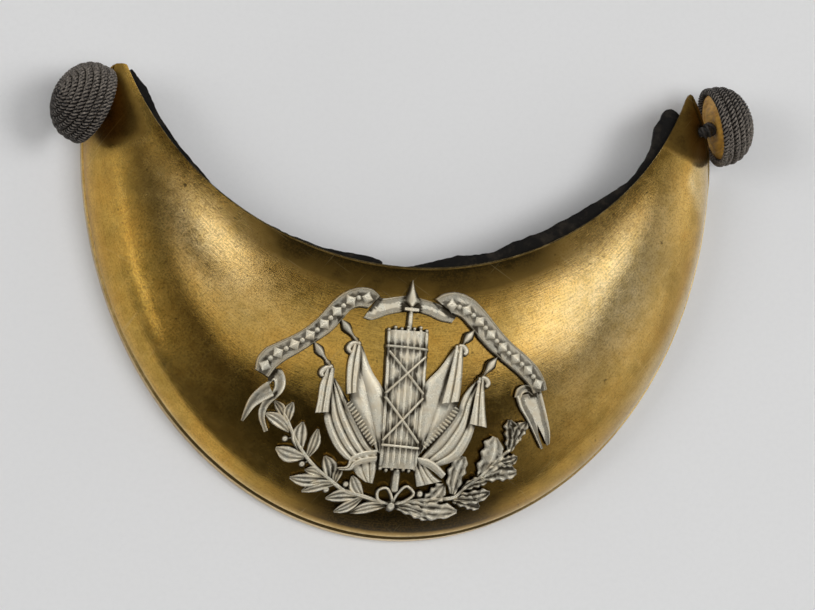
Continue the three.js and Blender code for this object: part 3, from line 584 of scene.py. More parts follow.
# Rods of the fasces, leaning and tapering downwards, rounded up towards the middle of the bundle
ROD_PITCH = 1.4
ROD_TOPS = (15.0, 15.5, 15.2, 15.7, 15.3, 15.6, 15.0)
ROD_FEET = (-15.3, -15.7, -15.4, -15.8, -15.5, -15.7, -15.3)
BUNDLE_TOP = 15.2
BUNDLE_LONG = 30.8
BUNDLE_LEAN = (0.15, -0.45)
BUNDLE_TAPER = 0.9
BUNDLE_HALF = 5.5
BUNDLE_MIDDLE = -0.1
BUNDLE_LOW = 1.25
BUNDLE_RISE = 1.05
CORE_SUNK = -0.24
STRAP_PROUD = 0.35
ROD_CORE_ENDS = (14.6, -15.2)

# Beads at the rod ends: step up, radius, share of the rod's height, base
ROD_BEADS = {"foot": (0.1, 0.62, 0.85, 0.05), "top": (-0.2, 0.58, 0.9, 0.06)}
# Straps round the bundle, from and to
STRAPS = [
    ((-4.9, 11.2), (4.9, 10.6)), ((-4.9, -10.2), (4.9, -10.8)), ((-4.4, 10.4), (4.7, 0.6)),
    ((4.6, 9.4), (-4.7, 0.6)), ((-4.7, 0.4), (4.6, -10)), ((4.7, 0.4), (-4.7, -9.6)),
]


def bundle_point(side, q):
    share = (BUNDLE_TOP - q) / BUNDLE_LONG
    return (mix(*BUNDLE_LEAN, share) + side * mix(1, BUNDLE_TAPER, share), q)


def bundle_height(p, extra):
    share = np.minimum(np.abs(p - BUNDLE_MIDDLE) / BUNDLE_HALF, 1)
    return BUNDLE_LOW + BUNDLE_RISE * np.sqrt(1 - share * share) + extra


def core_height(p):
    return bundle_height(p, CORE_SUNK)


def strap_height(p):
    return bundle_height(p, STRAP_PROUD)


# Strips of the cast work: half widths, height, section, steps along, steps across, base
STRIPS = {
    "rod_core": ([4.7, 4.4], core_height, soft_flat, 20, 14, 0.01),
    "rod": ([0.64, 0.68, 0.68, 0.64], None, half_round, 36, 8, 0.1),
    "rod_strap": ([0.5, 0.5], strap_height, half_round, 24, 6, 0.6),
    "spear_shaft": ([0.8, 0.7], 1.8, half_round, 10, 8, 0.03),
    "spear_collar": ([0.45, 0.5, 0.45], 2.1, soft_flat, 10, 6, 0.2),
    "spear_head": ([0.6, 1.9, 1.5, 0.95, 0.55, 0.1], 2.2, keeled, 20, 8, 0.04),
    "fasces_handle": ([1.05, 1.05], 1.7, half_round, 10, 8, 0.02),
    "lozenge": ([0.06, 1.75, 0.06], 1.9, keeled, 8, 8, 1.0),
    "flag_fringe": ([0.75, 0.95, 0.75], 2.0, fringed, 78, 8, 0.6),
    "flag_staff_head": ([0.1, 0.75, 1.2, 1.0, 0.55, 0.4, 0.85, 0.5], 2.0, keeled, 20, 8, 0.35),
    "flag_tassel": ([0.5, 0.8, 0.85, 0.45], 2.3, half_round, 16, 8, 0.55),
    "wreath_stem": ([0.6, 0.55, 0.5], 1.3, half_round, 60, 8, 0.02),
    "berry_stalk": ([0.28, 0.26], 0.95, half_round, 6, 6, 0.12),
    "bow_loop": ([0.45, 0.42, 0.45], 1.6, half_round, 40, 8, 0.07),
}
SPEAR = {
    "spear_shaft": [(0.4, 14), (0.8, 20.5)],
    "spear_collar": [(-0.8, 19.4), (2.3, 19.2)],
    "spear_head": [(0.8, 20), (0.9, 22.4), (0.8, 25.8)],
    "fasces_handle": [(-0.5, -15), (-0.6, -20.4)],
}


def cast_height(layer, base, tall, section):
    return np.where(layer > 0.5, mix(base, tall, section), base)


def lay_strip(name, path, tall=None):
    halfs, usual, section, along, across, base = STRIPS[name]
    piece, over, share, layer = start_slab(name, across, along)
    side = over * 2 - 1
    middle, heading = along_path(path, share)
    half = spread(halfs, share)
    p = middle[:, 0] - heading[:, 1] * side * half
    q = middle[:, 1] + heading[:, 0] * side * half
    high = usual(p) if callable(usual) else tall or usual
    return drape(piece, p, q, cast_height(layer, base, high, section(side, share)))


def lay_between(name, first, second, tall, base, section, along, across):
    piece, over, share, layer = start_slab(name, across, along)
    edge, _heading = along_path(first, share)
    other, _heading = along_path(second, share)
    p, q = mix(edge, other, over[:, None]).T
    return drape(piece, p, q, cast_height(layer, base, tall, section(over * 2 - 1, share)))


# Beads: one sphere cut in half, copied for berries, pellets and rod ends; radius, height and base
BEADS = {"pellet": (0.8, 1.8, 0.8), "staff_knob": (0.85, 2.2, 0.2), "berry": (0.78, 1.5, 0.05),
         "acorn": (0.9, 1.5, 0.05), "bow_knot": (1.2, 2.1, 0.05)}
BEAD_STEPS = (14, 8)
bead_pattern = half_ball("bead", *BEAD_STEPS)


def make_bead(spot, radius, tall, base):
    piece, over, along, up = copy_of(bead_pattern)
    return drape(piece, spot[0] + over * radius, spot[1] + along * radius, mix(base, tall, up))


def make_fasces():
    parts = [lay_strip("rod_core", [bundle_point(0, q) for q in ROD_CORE_ENDS])]
    for rod, (top, foot) in enumerate(zip(ROD_TOPS, ROD_FEET)):
        side = (rod - len(ROD_TOPS) // 2) * ROD_PITCH
        high = float(bundle_height(np.array(side), 0))
        parts.append(lay_strip("rod", [bundle_point(side, q) for q in (top, 0, foot)], high))
        for end, q in (("foot", foot), ("top", top)):
            inset, radius, share, base = ROD_BEADS[end]
            parts.append(make_bead(bundle_point(side, q + inset), radius, high * share, base))
    for start, end in STRAPS:
        parts.append(lay_strip("rod_strap", [bundle_point(*start), bundle_point(*end)]))
    return parts + [lay_strip(name, path) for name, path in SPEAR.items()]


# Ribbon: two edges, height, section and steps along
RIBBON = [
    ([(-32.9, 5.3), (-32.5, 7.8), (-31, 9.8), (-28, 11.4), (-23.6, 13.7), (-20, 16.6), (-16.4, 20.8),
      (-14, 22.7), (-10.9, 23.8), (-8, 23.5), (-6.3, 22.1)],
     [(-29.8, 3.6), (-28.4, 5.6), (-26.2, 7.4), (-23, 9.4), (-19.4, 11.9), (-16.6, 14), (-14.3, 16.7),
      (-12.6, 18.7), (-11, 19.4), (-8.9, 19.3)], 1.7, bordered, 70),
    ([(6, 22), (8, 23.3), (11, 23.7), (14.3, 22.6), (17.5, 19.8), (20.4, 16.5), (23.5, 13.4),
      (27.4, 10.5), (30.3, 7.8), (32, 5), (32.5, 3.4)],
     [(10.6, 18.7), (12.2, 18), (13.8, 16.4), (16.9, 13), (20.2, 10.1), (23.2, 8), (26, 6), (28.2, 4),
      (29.2, 2.4)], 1.7, bordered, 70),
    ([(-6.5, 22), (-5.6, 21.6), (-3, 22), (0.3, 22.5), (3.6, 21.8), (6.9, 20.9), (9.2, 19.6),
      (11, 18.4)],
     [(-9.7, 17.2), (-7.9, 16.8), (-4.6, 18), (-1.3, 18.8), (1.6, 18.9), (4.4, 18.5), (7.4, 17.3),
      (9.9, 16.9)], 1.1, rimmed, 40),
    ([(-30.4, 4.9), (-27.3, 5.4), (-26.1, 3.1), (-26.4, 0.9), (-27.8, -0.8), (-29.2, -2.1)],
     [(-29.5, 2.1), (-28.7, 3), (-28.4, 2), (-28.9, 0.4), (-30.1, -0.9), (-30.9, -1.7)],
     1.2, hollow_band, 24),
    ([(-29.9, 2.8), (-32, 1.2), (-33.6, -0.7), (-34.5, -3), (-35.1, -5.6)],
     [(-28.5, -0.4), (-30.5, -1.5), (-32.4, -2.8), (-33.5, -4.3), (-34.6, -5.8)], 1.4, hollow_band, 24),
    ([(-30.9, -1.7), (-31.5, -3.4), (-31.3, -5.3), (-30.5, -7), (-30, -8.1)],
     [(-28.2, -1), (-29.6, -2.8), (-30.1, -4.5), (-29.8, -6.2), (-29.2, -7.7)], 1.3, hollow_band, 24),
    ([(25.3, 1.6), (26.4, -0.9), (28.3, -3.4), (30.2, -6.3), (32.3, -9.5)],
     [(28.6, 2.4), (29.6, -0.9), (30.6, -3.6), (31.4, -6.4), (32.8, -9.3)], 1.4, left_edged, 24),
    ([(28.2, 2.4), (29.2, -0.9), (30.4, -3.5), (32.2, -6.2), (33.7, -8.6)],
     [(31.1, 3.2), (32.3, -0.1), (33.3, -3.1), (34.1, -5.9), (34.2, -8.3)], 1.4, right_edged, 24),
    ([(25, 1.4), (25.6, 3.4), (27.8, 4.2), (30, 3.2)],
     [(26.4, 0.9), (26.9, 2.2), (28, 2.6), (29, 2)], 1.5, hollow_band, 16),
]
RIBBON_ACROSS = 18
RIBBON_STEP = 0.03
ORNAMENTS = 15
ORNAMENTS_FROM = 0.9
ORNAMENTS_ROOM = 0.8
LOZENGE_HALF = 1.3


def make_ribbon():
    parts = []
    for index, (upper, lower, tall, section, along) in enumerate(RIBBON):
        base = RIBBON_STEP * index
        parts.append(lay_between("ribbon", upper, lower, tall, base, section, along, RIBBON_ACROSS))
    shares = (np.arange(ORNAMENTS) + ORNAMENTS_FROM) / (ORNAMENTS + ORNAMENTS_ROOM)
    for upper, lower, *_form in RIBBON[:2]:
        above, way = along_path(upper, shares)
        below, other_way = along_path(lower, shares)
        reach = LOZENGE_HALF * direction(way + other_way)
        for index, spot in enumerate((above + below) / 2):
            if index % 2 == 0:
                parts.append(lay_strip("lozenge", [spot - reach[index], spot + reach[index]]))
            else:
                parts.append(make_bead(spot, *BEADS["pellet"]))
    return parts


# Flags: cloth between two edges, with number and depth of folds, height and base
FLAGS = [
    ([(-16.8, 3.3), (-17.4, -4.2), (-16.5, -7.4), (-14.5, -11), (-12.2, -13.3), (-10.6, -14.1)],
     [(-15.5, 3.8), (-13.1, 0.2), (-9.9, -5.5), (-6.9, -10.3), (-5, -12.4)], 4, 0.36, 1.6, 0),
    ([(-11, 10.9), (-11.9, 5.7), (-12, -0.4), (-9.5, -5), (-6.5, -9.7), (-5.3, -11.8)],
     [(-9.9, 11), (-7.4, 5.4), (-4.6, 1.1), (-4.2, -4.9), (-4.2, -9.2), (-4.4, -12.2)],
     2, 0.25, 1.75, 0.2),
    ([(-11.9, 11.2), (-12.9, 7.2), (-13, 3.2), (-12.8, 0.4)],
     [(-10.1, 10.9), (-10.3, 6.5), (-10.6, 3.2), (-10.6, 0.8)], 2, 0.3, 2.2, 0.4),
    ([(-17.6, 5.8), (-18.7, 2.2), (-19, -1), (-19.4, -3.8)],
     [(-15.7, 5.9), (-16, 2.2), (-16.4, -1), (-16.5, -3.6)], 2, 0.3, 2.1, 0.4),
    ([(16.3, 5.1), (12.9, 0.6), (11.6, -3.2), (8.5, -7.6), (4.6, -12.7)],
     [(17.7, 5), (16.1, -6.2), (15, -9.5), (13.2, -12.4), (8.6, -14.5)], 3, 0.32, 1.6, 0),
    ([(11, 11.9), (7.6, 6.9), (4.2, 3), (3.3, -0.3), (3.5, -6.7), (3.7, -12.5)],
     [(12.2, 11.9), (12.6, 6.7), (12.1, -0.5), (11.5, -2.5), (8.4, -7), (4.7, -11.4)],
     2, 0.25, 1.75, 0.2),
    ([(10.8, 11.8), (9.9, 6.5), (9, 2.1), (8.3, -0.9)],
     [(12.6, 11.9), (12.6, 6.7), (12.4, 2.3), (12.1, -0.3)], 2, 0.3, 2.2, 0.4),
    ([(16.3, 5.1), (15.8, 1.4), (15.4, -1.9), (14.9, -5)],
     [(17.7, 5.2), (18, 0.4), (18.4, -2.8), (18.9, -5.6)], 2, 0.3, 2.1, 0.4),
    ([(-5.4, -11.2), (-9, -11.9), (-11.1, -13.2), (-11.6, -14.9), (-14.1, -15.3)],
     [(-5.2, -13.9), (-7.5, -14.2), (-9.6, -14.9), (-10.6, -15.8), (-13, -15.9)], 2, 0.35, 1.7, 0.3),
    ([(-10.4, -15.4), (-9, -17), (-7.3, -18.2)],
     [(-5, -12.2), (-5.2, -15.6), (-5.6, -18.5)], 3, 0.35, 1.4, 0.15),
    ([(3.6, -12.5), (6.7, -13), (8.6, -14.2), (10.5, -15.9)],
     [(4.2, -13.9), (6.4, -14.8), (8.2, -15.9), (9.7, -17)], 1, 0.35, 1.8, 0.3),
    ([(2.7, -13.4), (3.6, -16.2), (4.3, -18.9)],
     [(5.9, -14.4), (7.9, -16.4), (9.9, -17.5)], 3, 0.35, 1.4, 0.15),
]
FINIALS = [
    ((-14.7, 16.6), (-10.7, 11.4)), ((-20.4, 11.4), (-16.6, 6.2)), ((15, 15.5), (11.3, 10.6)),
    ((20.4, 9.8), (16.5, 4.2)),
]
TASSELS = [
    [(-10.7, 11.5), (-12.2, 11.3), (-12.9, 10.2), (-12.2, 9.2)],
    [(-16.5, 6.1), (-17.8, 5.8), (-18.6, 4.8), (-18.2, 3.9)],
    [(11.4, 11.9), (12.7, 11.6), (13.3, 10.6), (12.7, 9.8)],
    [(16.9, 5.2), (18, 4.9), (18.6, 3.9), (18, 3)],
]
FRINGES = [
    [(-12.3, -1.4), (-10.2, -4.4), (-8.3, -7.3), (-6.1, -10.2)],
    [(11.9, -1.8), (9.9, -4.6), (7.3, -7.6), (4.9, -10.3)],
]
FLAG_ALONG = 24
FOLD_ACROSS = 12


def make_flags():
    parts = []
    for first, second, folds, depth, tall, base in FLAGS:
        parts.append(lay_between("flag", first, second, tall, base, folded(folds, depth),
                                 FLAG_ALONG, FOLD_ACROSS * folds))
    parts += [lay_strip("flag_fringe", path) for path in FRINGES]
    for tip, foot in FINIALS:
        parts.append(lay_strip("flag_staff_head", [tip, foot]))
        parts.append(make_bead(foot, *BEADS["staff_knob"]))
    return parts + [lay_strip("flag_tassel", path) for path in TASSELS]


# Wreath: one laurel leaf and one oak leaf, each copied to its places
LAUREL_STEM = [
    (-2, -22.9), (-7.5, -21.2), (-11.3, -20.3), (-14.8, -18), (-18.3, -15.4), (-21.2, -12.3),
    (-23.4, -9.1), (-25.2, -5.4), (-26.6, -3.2),
]
OAK_STEM = [
    (-2.6, -22.6), (1, -22.4), (5.4, -21.7), (9.9, -21.3), (13.3, -20.7), (15.3, -18.7), (18.5, -16.2),
    (22.7, -11.9), (25.5, -9.6),
]
LAUREL_LEAVES = [
    ((-25.9, -4.9), (-28.2, -1.4), 0.9), ((-25.2, -6), (-24.3, -1.6), 1.1),
    ((-24.6, -7.8), (-30, -4), 1.2), ((-22, -11.9), (-21.9, -5.8), 1.5),
    ((-20.3, -13.2), (-18.5, -7.2), 1.1), ((-21, -13.3), (-27.2, -11.4), 1.4),
    ((-14.9, -17.9), (-16.5, -12.9), 1.4), ((-13.9, -18.7), (-12.6, -15), 0.9),
    ((-16.8, -17), (-20.6, -15.9), 0.9), ((-15.9, -17.9), (-23.6, -17.6), 1.2),
    ((-13.9, -18.7), (-20.7, -20.4), 1.1), ((-7.6, -21.2), (-10.2, -17), 1.2),
    ((-8, -21.4), (-15.4, -21.8), 1.2), ((-7.6, -21.5), (-13.2, -24.6), 1.0),
    ((-2.2, -23.1), (-9.6, -24.7), 1.0),
]
OAK_LEAVES = [
    ((24.9, -10.4), (24.3, -3.6), 1.7), ((25.6, -9), (28.3, -3.9), 1.4),
    ((18.6, -16.2), (21.2, -7.5), 2.5), ((18.8, -16.3), (27.1, -14.7), 1.9),
    ((22.1, -12.9), (26.9, -11.6), 1.2), ((12.6, -20.1), (14.4, -12), 1.9),
    ((13, -20.9), (21.4, -19.4), 1.4), ((14.7, -18.9), (20.4, -16.9), 1.1),
    ((6.2, -22.3), (10.5, -18.2), 1.8), ((13, -21.5), (19.5, -22.6), 1.3),
    ((0.8, -22.7), (14.3, -23.7), 1.7), ((0.2, -23.2), (8.2, -25.5), 1.2),
]
BERRIES = [
    ((-25.4, -9.4), (-23.4, -9.1)), ((-21.3, -14.7), (-19.8, -13.9)), ((-11.4, -18.8), (-11.8, -20.1)),
    ((-15.5, -20), (-14.4, -18.3)),
]
ACORN = (5.2, -20.4)
BOW_LOOPS = [
    [(-1.2, -22.9), (-4, -21.8), (-4.2, -20), (-2.4, -19.4), (-1, -21.4), (-1, -23)],
    [(-0.8, -22.9), (2, -22), (3.8, -20.4), (2, -18.9), (0, -20.8), (-0.8, -23)],
]
BOW_KNOT = (-1, -23.2)
LAUREL_OUTLINE = [0.35, 0.8, 1.1, 1.15, 0.85, 0.2]
OAK_OUTLINE = [0.35, 0.95, 1.1, 1.2, 1.1, 0.35]
OAK_LOBES = 3.5
LAUREL_STEPS = 16
OAK_STEPS = 30
LEAF_ACROSS = 10
LEAF_TOP = 1.45
LEAF_BEND = 0.35
LEAF_BASE = 0.05
LEAF_BASE_STEP = 0.12


def start_leaf(name, outline, lobes, steps):
    piece, over, share, layer = start_slab(name, LEAF_ACROSS, steps)
    side = over * 2 - 1
    half = spread(outline, share)
    rib = 0.26 * np.exp(-(side / 0.17) ** 2) * ease(1, 0.8, share)
    rim = ease(0.40, 0.78, np.abs(side)) - 0.8 * ease(0.86, 1, np.abs(side))
    dished = 0.60 + 0.40 * rim + rib
    if lobes:
        wave = 2 * math.pi * lobes * share
        half = half * (0.88 + 0.12 * np.cos(wave + 0.6 * side))
        dished = dished + 0.2 * np.cos(wave) * rim
    arched = 0.72 + 0.28 * np.sin(math.pi * np.clip(share * 1.1, 0, 1))
    set_corners(piece, np.stack([side * half, share, np.where(layer > 0.5, dished * arched, 0)], -1))
    return piece


def copy_leaf(pattern, base, tip, half, order):
    piece, over, share, up = copy_of(pattern)
    way = np.array(tip) - np.array(base)
    normal = direction(np.array([-way[1], way[0]]))
    bend = LEAF_BEND * half * np.sin(math.pi * share) * (1 if order % 2 else -1)
    p, q = (base + share[:, None] * way + (over * half + bend)[:, None] * normal).T
    low = LEAF_BASE + LEAF_BASE_STEP * (order % 3)
    return drape(piece, p, q, mix(low, LEAF_TOP, up))


def make_wreath():
    laurel = start_leaf("laurel_leaf", LAUREL_OUTLINE, 0, LAUREL_STEPS)
    oak = start_leaf("oak_leaf", OAK_OUTLINE, OAK_LOBES, OAK_STEPS)
    parts = [lay_strip("wreath_stem", path) for path in (LAUREL_STEM, OAK_STEM)]
    for pattern, leaves in ((laurel, LAUREL_LEAVES), (oak, OAK_LEAVES)):
        parts += [copy_leaf(pattern, *leaf, order) for order, leaf in enumerate(leaves)]
        bpy.data.objects.remove(pattern)
    for at, stem in BERRIES:
        parts.append(make_bead(at, *BEADS["berry"]))
        parts.append(lay_strip("berry_stalk", [stem, at]))
    parts.append(make_bead(ACORN, *BEADS["acorn"]))
    parts += [lay_strip("bow_loop", path) for path in BOW_LOOPS]
    return parts + [make_bead(BOW_KNOT, *BEADS["bow_knot"])]


def cast_together(name, parts):
    while len(parts) > 1:
        for piece, other in zip(parts[0::2], parts[1::2]):
            cut_or_join(piece, other, "UNION")
        parts = parts[0::2]
    parts[0].name = name
    return parts[0]


def make_emblem():
    parts = make_fasces() + make_ribbon() + make_flags() + make_wreath()
    bpy.data.objects.remove(bead_pattern)
    return cast_together("gorget_emblem", parts)


# Buttons, modelled upright about +Z with the mould's back at zero, then turned into place
def set_button(piece, button):
    turn = np.array(Vector(button["axis"]).to_track_quat("Z", "Y").to_matrix())
    set_corners(piece, into_frame(corners(piece) @ turn.T + np.array(button["back"])))


def tube(name, points, radius, sides, closed=False):
    curve = bpy.data.curves.new(name, "CURVE")
    curve.dimensions = "3D"
    curve.bevel_depth = radius
    curve.bevel_resolution = sides
    curve.use_fill_caps = True
    line = curve.splines.new("POLY")
    line.points.add(len(points) - 1)
    line.points.foreach_set("co", np.concatenate([points, np.ones((len(points), 1))], 1).ravel())
    line.use_cyclic_u = closed
    piece = bpy.data.objects.new(name, curve)
    bpy.context.collection.objects.link(piece)
    pick(piece)
    bpy.ops.object.convert(target="MESH")
    return bpy.context.object


def step_evenly(path, steps):
    length = run_lengths(path)
    even = np.linspace(0, length[-1], int(length[-1] * steps))
    middle = read_along(even, length, path)
    return middle, direction(np.gradient(middle, axis=0)), even


def wind(middle, out, across, radius, phase):
    return middle + radius * (np.cos(phase)[:, None] * out + np.sin(phase)[:, None] * across)


def cord_spiral():
    round_radius = BUTTON_RADIUS - CORD_RADIUS
    lean = np.linspace(math.pi / 2, CORD_TOP_LEAN, ARC_STEPS)
    crown = BUTTON_HEIGHT - CORD_RADIUS - WALL_TOP
    rise_line = np.stack([round_radius * np.sin(lean), WALL_TOP + crown * np.cos(lean)], -1)
    rise_line = np.concatenate([[[round_radius, CORD_START]], rise_line])
    climbed = run_lengths(rise_line)
    row = np.linspace(0, 1 + climbed[-1] / CORD_PITCH, SPIRAL_STEPS)
    turns = 2 * math.pi * row - math.pi / 2
    from_axis, level = read_along(np.maximum(row - 1, 0) * CORD_PITCH, climbed, rise_line).T
    return np.stack([from_axis * np.cos(turns), from_axis * np.sin(turns), level], -1)


def make_cover(side, button):
    inner = BUTTON_RADIUS - COVER_DEPTH
    rise = BUTTON_HEIGHT - MOULD_BACK - COVER_DEPTH
    core = half_ball("button_core", *COVER_CORE_STEPS)
    edit_all()
    bpy.ops.transform.resize(value=(inner, inner, rise), center_override=(0, 0, 0))
    bpy.ops.transform.translate(value=(0, 0, MOULD_BACK))
    leave_edit()
    # The core has no strand crest, so the finish gives it the near-black painted shade between strands
    note(core, "strand", np.zeros(len(core.data.vertices)))
    middle, way, even = step_evenly(cord_spiral(), CORD_STEPS)
    out = middle - COVER_MIDDLE
    out = direction(out - way * np.sum(out * way, 1, keepdims=True))
    across = np.cross(way, out)
    pieces = [core]
    for strand in range(CORD_STRANDS):
        phase = 2 * math.pi * (even / CORD_LAY + strand / CORD_STRANDS)
        line = wind(middle, out, across, CORD_RADIUS * CORD_OFFSET, phase)
        piece = tube("button_cord", line, CORD_RADIUS * STRAND_SIZE, 1)
        points = corners(piece)
        around = len(points) // len(line)
        wound = around * len(line)
        rings = points[:wound].reshape(len(line), around, 3)
        # How far each strand point stands out from the cord's axis; the finish paints the crests light as
        # a painted highlight and the rest dark as painted shade
        proud = np.zeros(len(points))
        proud[:wound] = np.linalg.norm(rings - middle[:, None], axis=-1).ravel() / CORD_RADIUS
        note(piece, "strand", np.clip(proud, 0, 1))
        pieces.append(piece)
    cover = join(f"button_{side}_cord", pieces)
    set_button(cover, button)
    return cover


def make_mould(side, button):
    (ring, height), *rest = MOULD_PROFILE
    let_go()
    bpy.ops.mesh.primitive_circle_add(vertices=MOULD_SIDES, radius=ring, fill_type="NGON",
                                      location=(0, 0, height))
    piece = named(f"button_{side}_wood")
    bpy.ops.object.transform_apply(location=True, rotation=True, scale=True)
    edit_all()
    for radius, level in rest:
        bpy.ops.mesh.extrude_region_move(TRANSFORM_OT_translate={"value": (0, 0, level - height)})
        bpy.ops.transform.resize(value=(radius / ring, radius / ring, 1))
        ring, height = radius, level
    leave_edit()
    face_out(piece)
    set_button(piece, button)
    return piece


# Thread from a knot under the lining, out through the horn and across to the button
def make_knot(surface, normal):
    seat = surface - (BRASS + LINING_GAP + LEATHER + KNOT_DROP) * normal
    turns = np.linspace(0, 2 * math.pi, KNOT_STEPS, endpoint=False)
    loops = []
    for loop in range(KNOT_LOOPS):
        first = direction(np.cross(normal, np.array([math.cos(loop), math.sin(loop), 0.2])))
        level = KNOT_STEP * (loop - 1.5 + np.cos(2 * turns + loop))
        ring = wind(seat, first, np.cross(normal, first), KNOT_RADIUS, turns) + normal * level[:, None]
        loops.append(tube("shank_knot", into_frame(ring), KNOT_THREAD * MM, 2, True))
    return loops


def make_shank(side, button):
    x, y = button["hole"]
    surface = np.array([x, y, float(dome_height(x, y))])
    normal = np.array(dome_normal(x, y))
    facing = np.array(Vector(button["axis"]).normalized())
    end = np.array(button["back"]) - SHANK_END * facing
    near = end - SHANK_STRAIGHT * facing
    bend = (surface + near) / 2 + normal * button["arch"]
    route = [surface + level * normal for level in SHANK_LEVELS] + [bend, near, end]
    path, _heading = along_path(route, np.linspace(0, 1, ARC_STEPS))
    middle, way, even = step_evenly(path, SHANK_STEPS)
    out = direction(np.cross(way, SHANK_SIDEWAYS))
    across = np.cross(way, out)
    pieces = []
    for strand in range(SHANK_STRANDS):
        phase = 2 * math.pi * (even / SHANK_LAY + strand / SHANK_STRANDS)
        line = wind(middle, out, across, SHANK_RADIUS * SHANK_OFFSET, phase)
        pieces.append(tube("shank_thread", into_frame(line), SHANK_RADIUS * STRAND_SIZE * MM, 2))
    wrapped = (even > WRAP_FROM) & (even < even[-1] - WRAP_SHORT)
    phase = 2 * math.pi * even[wrapped] / WRAP_PITCH
    wrap = wind(middle[wrapped], out[wrapped], across[wrapped], WRAP_RADIUS, phase)
    pieces.append(tube("shank_wrap", into_frame(wrap), WRAP_THREAD * MM, 2))
    return join(f"button_{side}_thread", pieces + make_knot(surface, normal))


# Finishes
def put(tree, kind, wires=None, **settings):
    node = tree.nodes.new("ShaderNode" + kind)
    for key, value in settings.items():
        setattr(node, key, value)
    for key, value in (wires or {}).items():
        if isinstance(value, bpy.types.NodeSocket):
            tree.links.new(value, node.inputs[key])
        else:
            node.inputs[key].default_value = value
    return node


def start_finish(name):
    finish = bpy.data.materials.new(name)
    finish.use_nodes = True
    finish.node_tree.nodes.clear()
    coords = put(finish.node_tree, "TexCoord").outputs["Object"]
    return finish, coords


def end_finish(finish, colour, rough, relief=None, strength=0.5, depth=0.0001, plain=None):
    tree = finish.node_tree
    wires = {"Base Color": colour, "Roughness": rough, **(plain or {})}
    if relief:
        height = {"Height": relief, "Strength": strength, "Distance": depth}
        wires["Normal"] = put(tree, "Bump", height).outputs["Normal"]
    shader = put(tree, "BsdfPrincipled", wires)
    put(tree, "OutputMaterial", {"Surface": shader.outputs["BSDF"]})
    return finish


def reading(finish, name):
    return put(finish.node_tree, "Attribute", attribute_name=name).outputs["Fac"]


def spots(coords, scale, detail, rough, stretch=None, turn=0.0):
    if stretch:
        shaped = {"Vector": coords, "Scale": tuple(1 / size for size in stretch), "Rotation": (0, 0, turn)}
        coords = put(coords.id_data, "Mapping", shaped, vector_type="TEXTURE").outputs["Vector"]
    wires = {"Vector": coords, "Scale": scale, "Detail": detail, "Roughness": rough}
    return put(coords.id_data, "TexNoise", wires).outputs["Fac"]


def span(value, low, high, out_low=0.0, out_high=1.0):
    wires = {"Value": value, "From Min": low, "From Max": high, "To Min": out_low, "To Max": out_high}
    return put(value.id_data, "MapRange", wires).outputs["Result"]


def blend(share, first, second):
    return put(share.id_data, "Mix", {0: share, 6: first, 7: second}, data_type="RGBA").outputs[2]


def sums(operation, first, second):
    wires = {0: first, 1: second}
    return put(first.id_data, "Math", wires, operation=operation, use_clamp=True).outputs[0]


def brass_finish():
    finish, coords = start_finish("old_brass")
    shade_mask = reading(finish, "painted_shade")
    painted_highlight = reading(finish, "painted_highlight")
    matt = reading(finish, "matt")
    round_way = put(finish.node_tree, "UVMap", uv_map="polish").outputs["UV"]
    clouds = spots(coords, 28, 5, 0.6)
    patches = spots(coords, 85, 4, 0.6)
    mottle = spots(coords, 320, 5, 0.65)
    specks = spots(coords, 620, 2, 0.5)
    grain = spots(coords, 2300, 3, 0.65)
    lines = spots(round_way, 16, 3, 0.65, (1.0, 13.0, 1.0))
    scratches = [spots(coords, 60, 2, 0.5, (1.0, 30.0, 1.0), turn) for turn in (0.9, -0.6)]
    hairs = sums("MAXIMUM", *[span(scratch, 0.68, 0.73) for scratch in scratches])
    shift = span(mottle, 0.35, 0.65)
    orange = blend(shift, (0.60, 0.335, 0.062, 1), (0.76, 0.455, 0.095, 1))
    yellow = blend(shift, (0.55, 0.338, 0.066, 1), (0.72, 0.460, 0.108, 1))
    # Painted highlight colour: paler brass where the highlights fall
    highlight_brass = blend(shift, (0.84, 0.61, 0.25, 1), (0.97, 0.76, 0.40, 1))
    gold = blend(painted_highlight, blend(span(patches, 0.40, 0.62), orange, yellow), highlight_brass)
    olive = blend(span(grain, 0.3, 0.7), (0.15, 0.088, 0.018, 1), (0.27, 0.165, 0.042, 1))
    # Painted shade colour: dark olive brass, near black where the painted shade is deepest
    shade_colour = blend(span(shade_mask, 0.7, 1.0), olive, (0.030, 0.021, 0.007, 1))
    off_highlight = span(painted_highlight, 0, 1, 1, 0.2)
    dull = sums("MULTIPLY", span(patches, 0.52, 0.72, 0, 0.30), off_highlight)
    # Real stains plus painted shade decide how far the brass goes towards the painted shade colour
    stains_and_shade = sums("ADD", span(clouds, 0.50, 0.72, 0, 0.40), shade_mask)
    colour = blend(sums("ADD", stains_and_shade, dull), gold, shade_colour)
    colour = blend(span(specks, 0.70, 0.78, 0, 0.7), colour, (0.06, 0.035, 0.010, 1))
    shade = sums("ADD", span(grain, 0.46, 0.67, 0, 0.44), span(lines, 0.48, 0.66, 0, 0.2))
    colour = blend(shade, colour, (0.17, 0.095, 0.018, 1))
    colour = blend(sums("MULTIPLY", hairs, 0.10), colour, (0.98, 0.80, 0.42, 1))
    brushed = span(lines, 0.4, 0.7, 0.0, 0.08)
    rough = sums("ADD", span(mottle, 0.3, 0.7, 0.10, 0.18), brushed)
    for dulled in (shade_mask, matt):
        rough = sums("ADD", rough, sums("MULTIPLY", dulled, 0.20))
    relief = sums("ADD", sums("MULTIPLY", lines, 0.5), sums("MULTIPLY", grain, 0.4))
    return end_finish(finish, colour, rough, relief, 0.5, 0.00005, plain={"Metallic": 1.0})


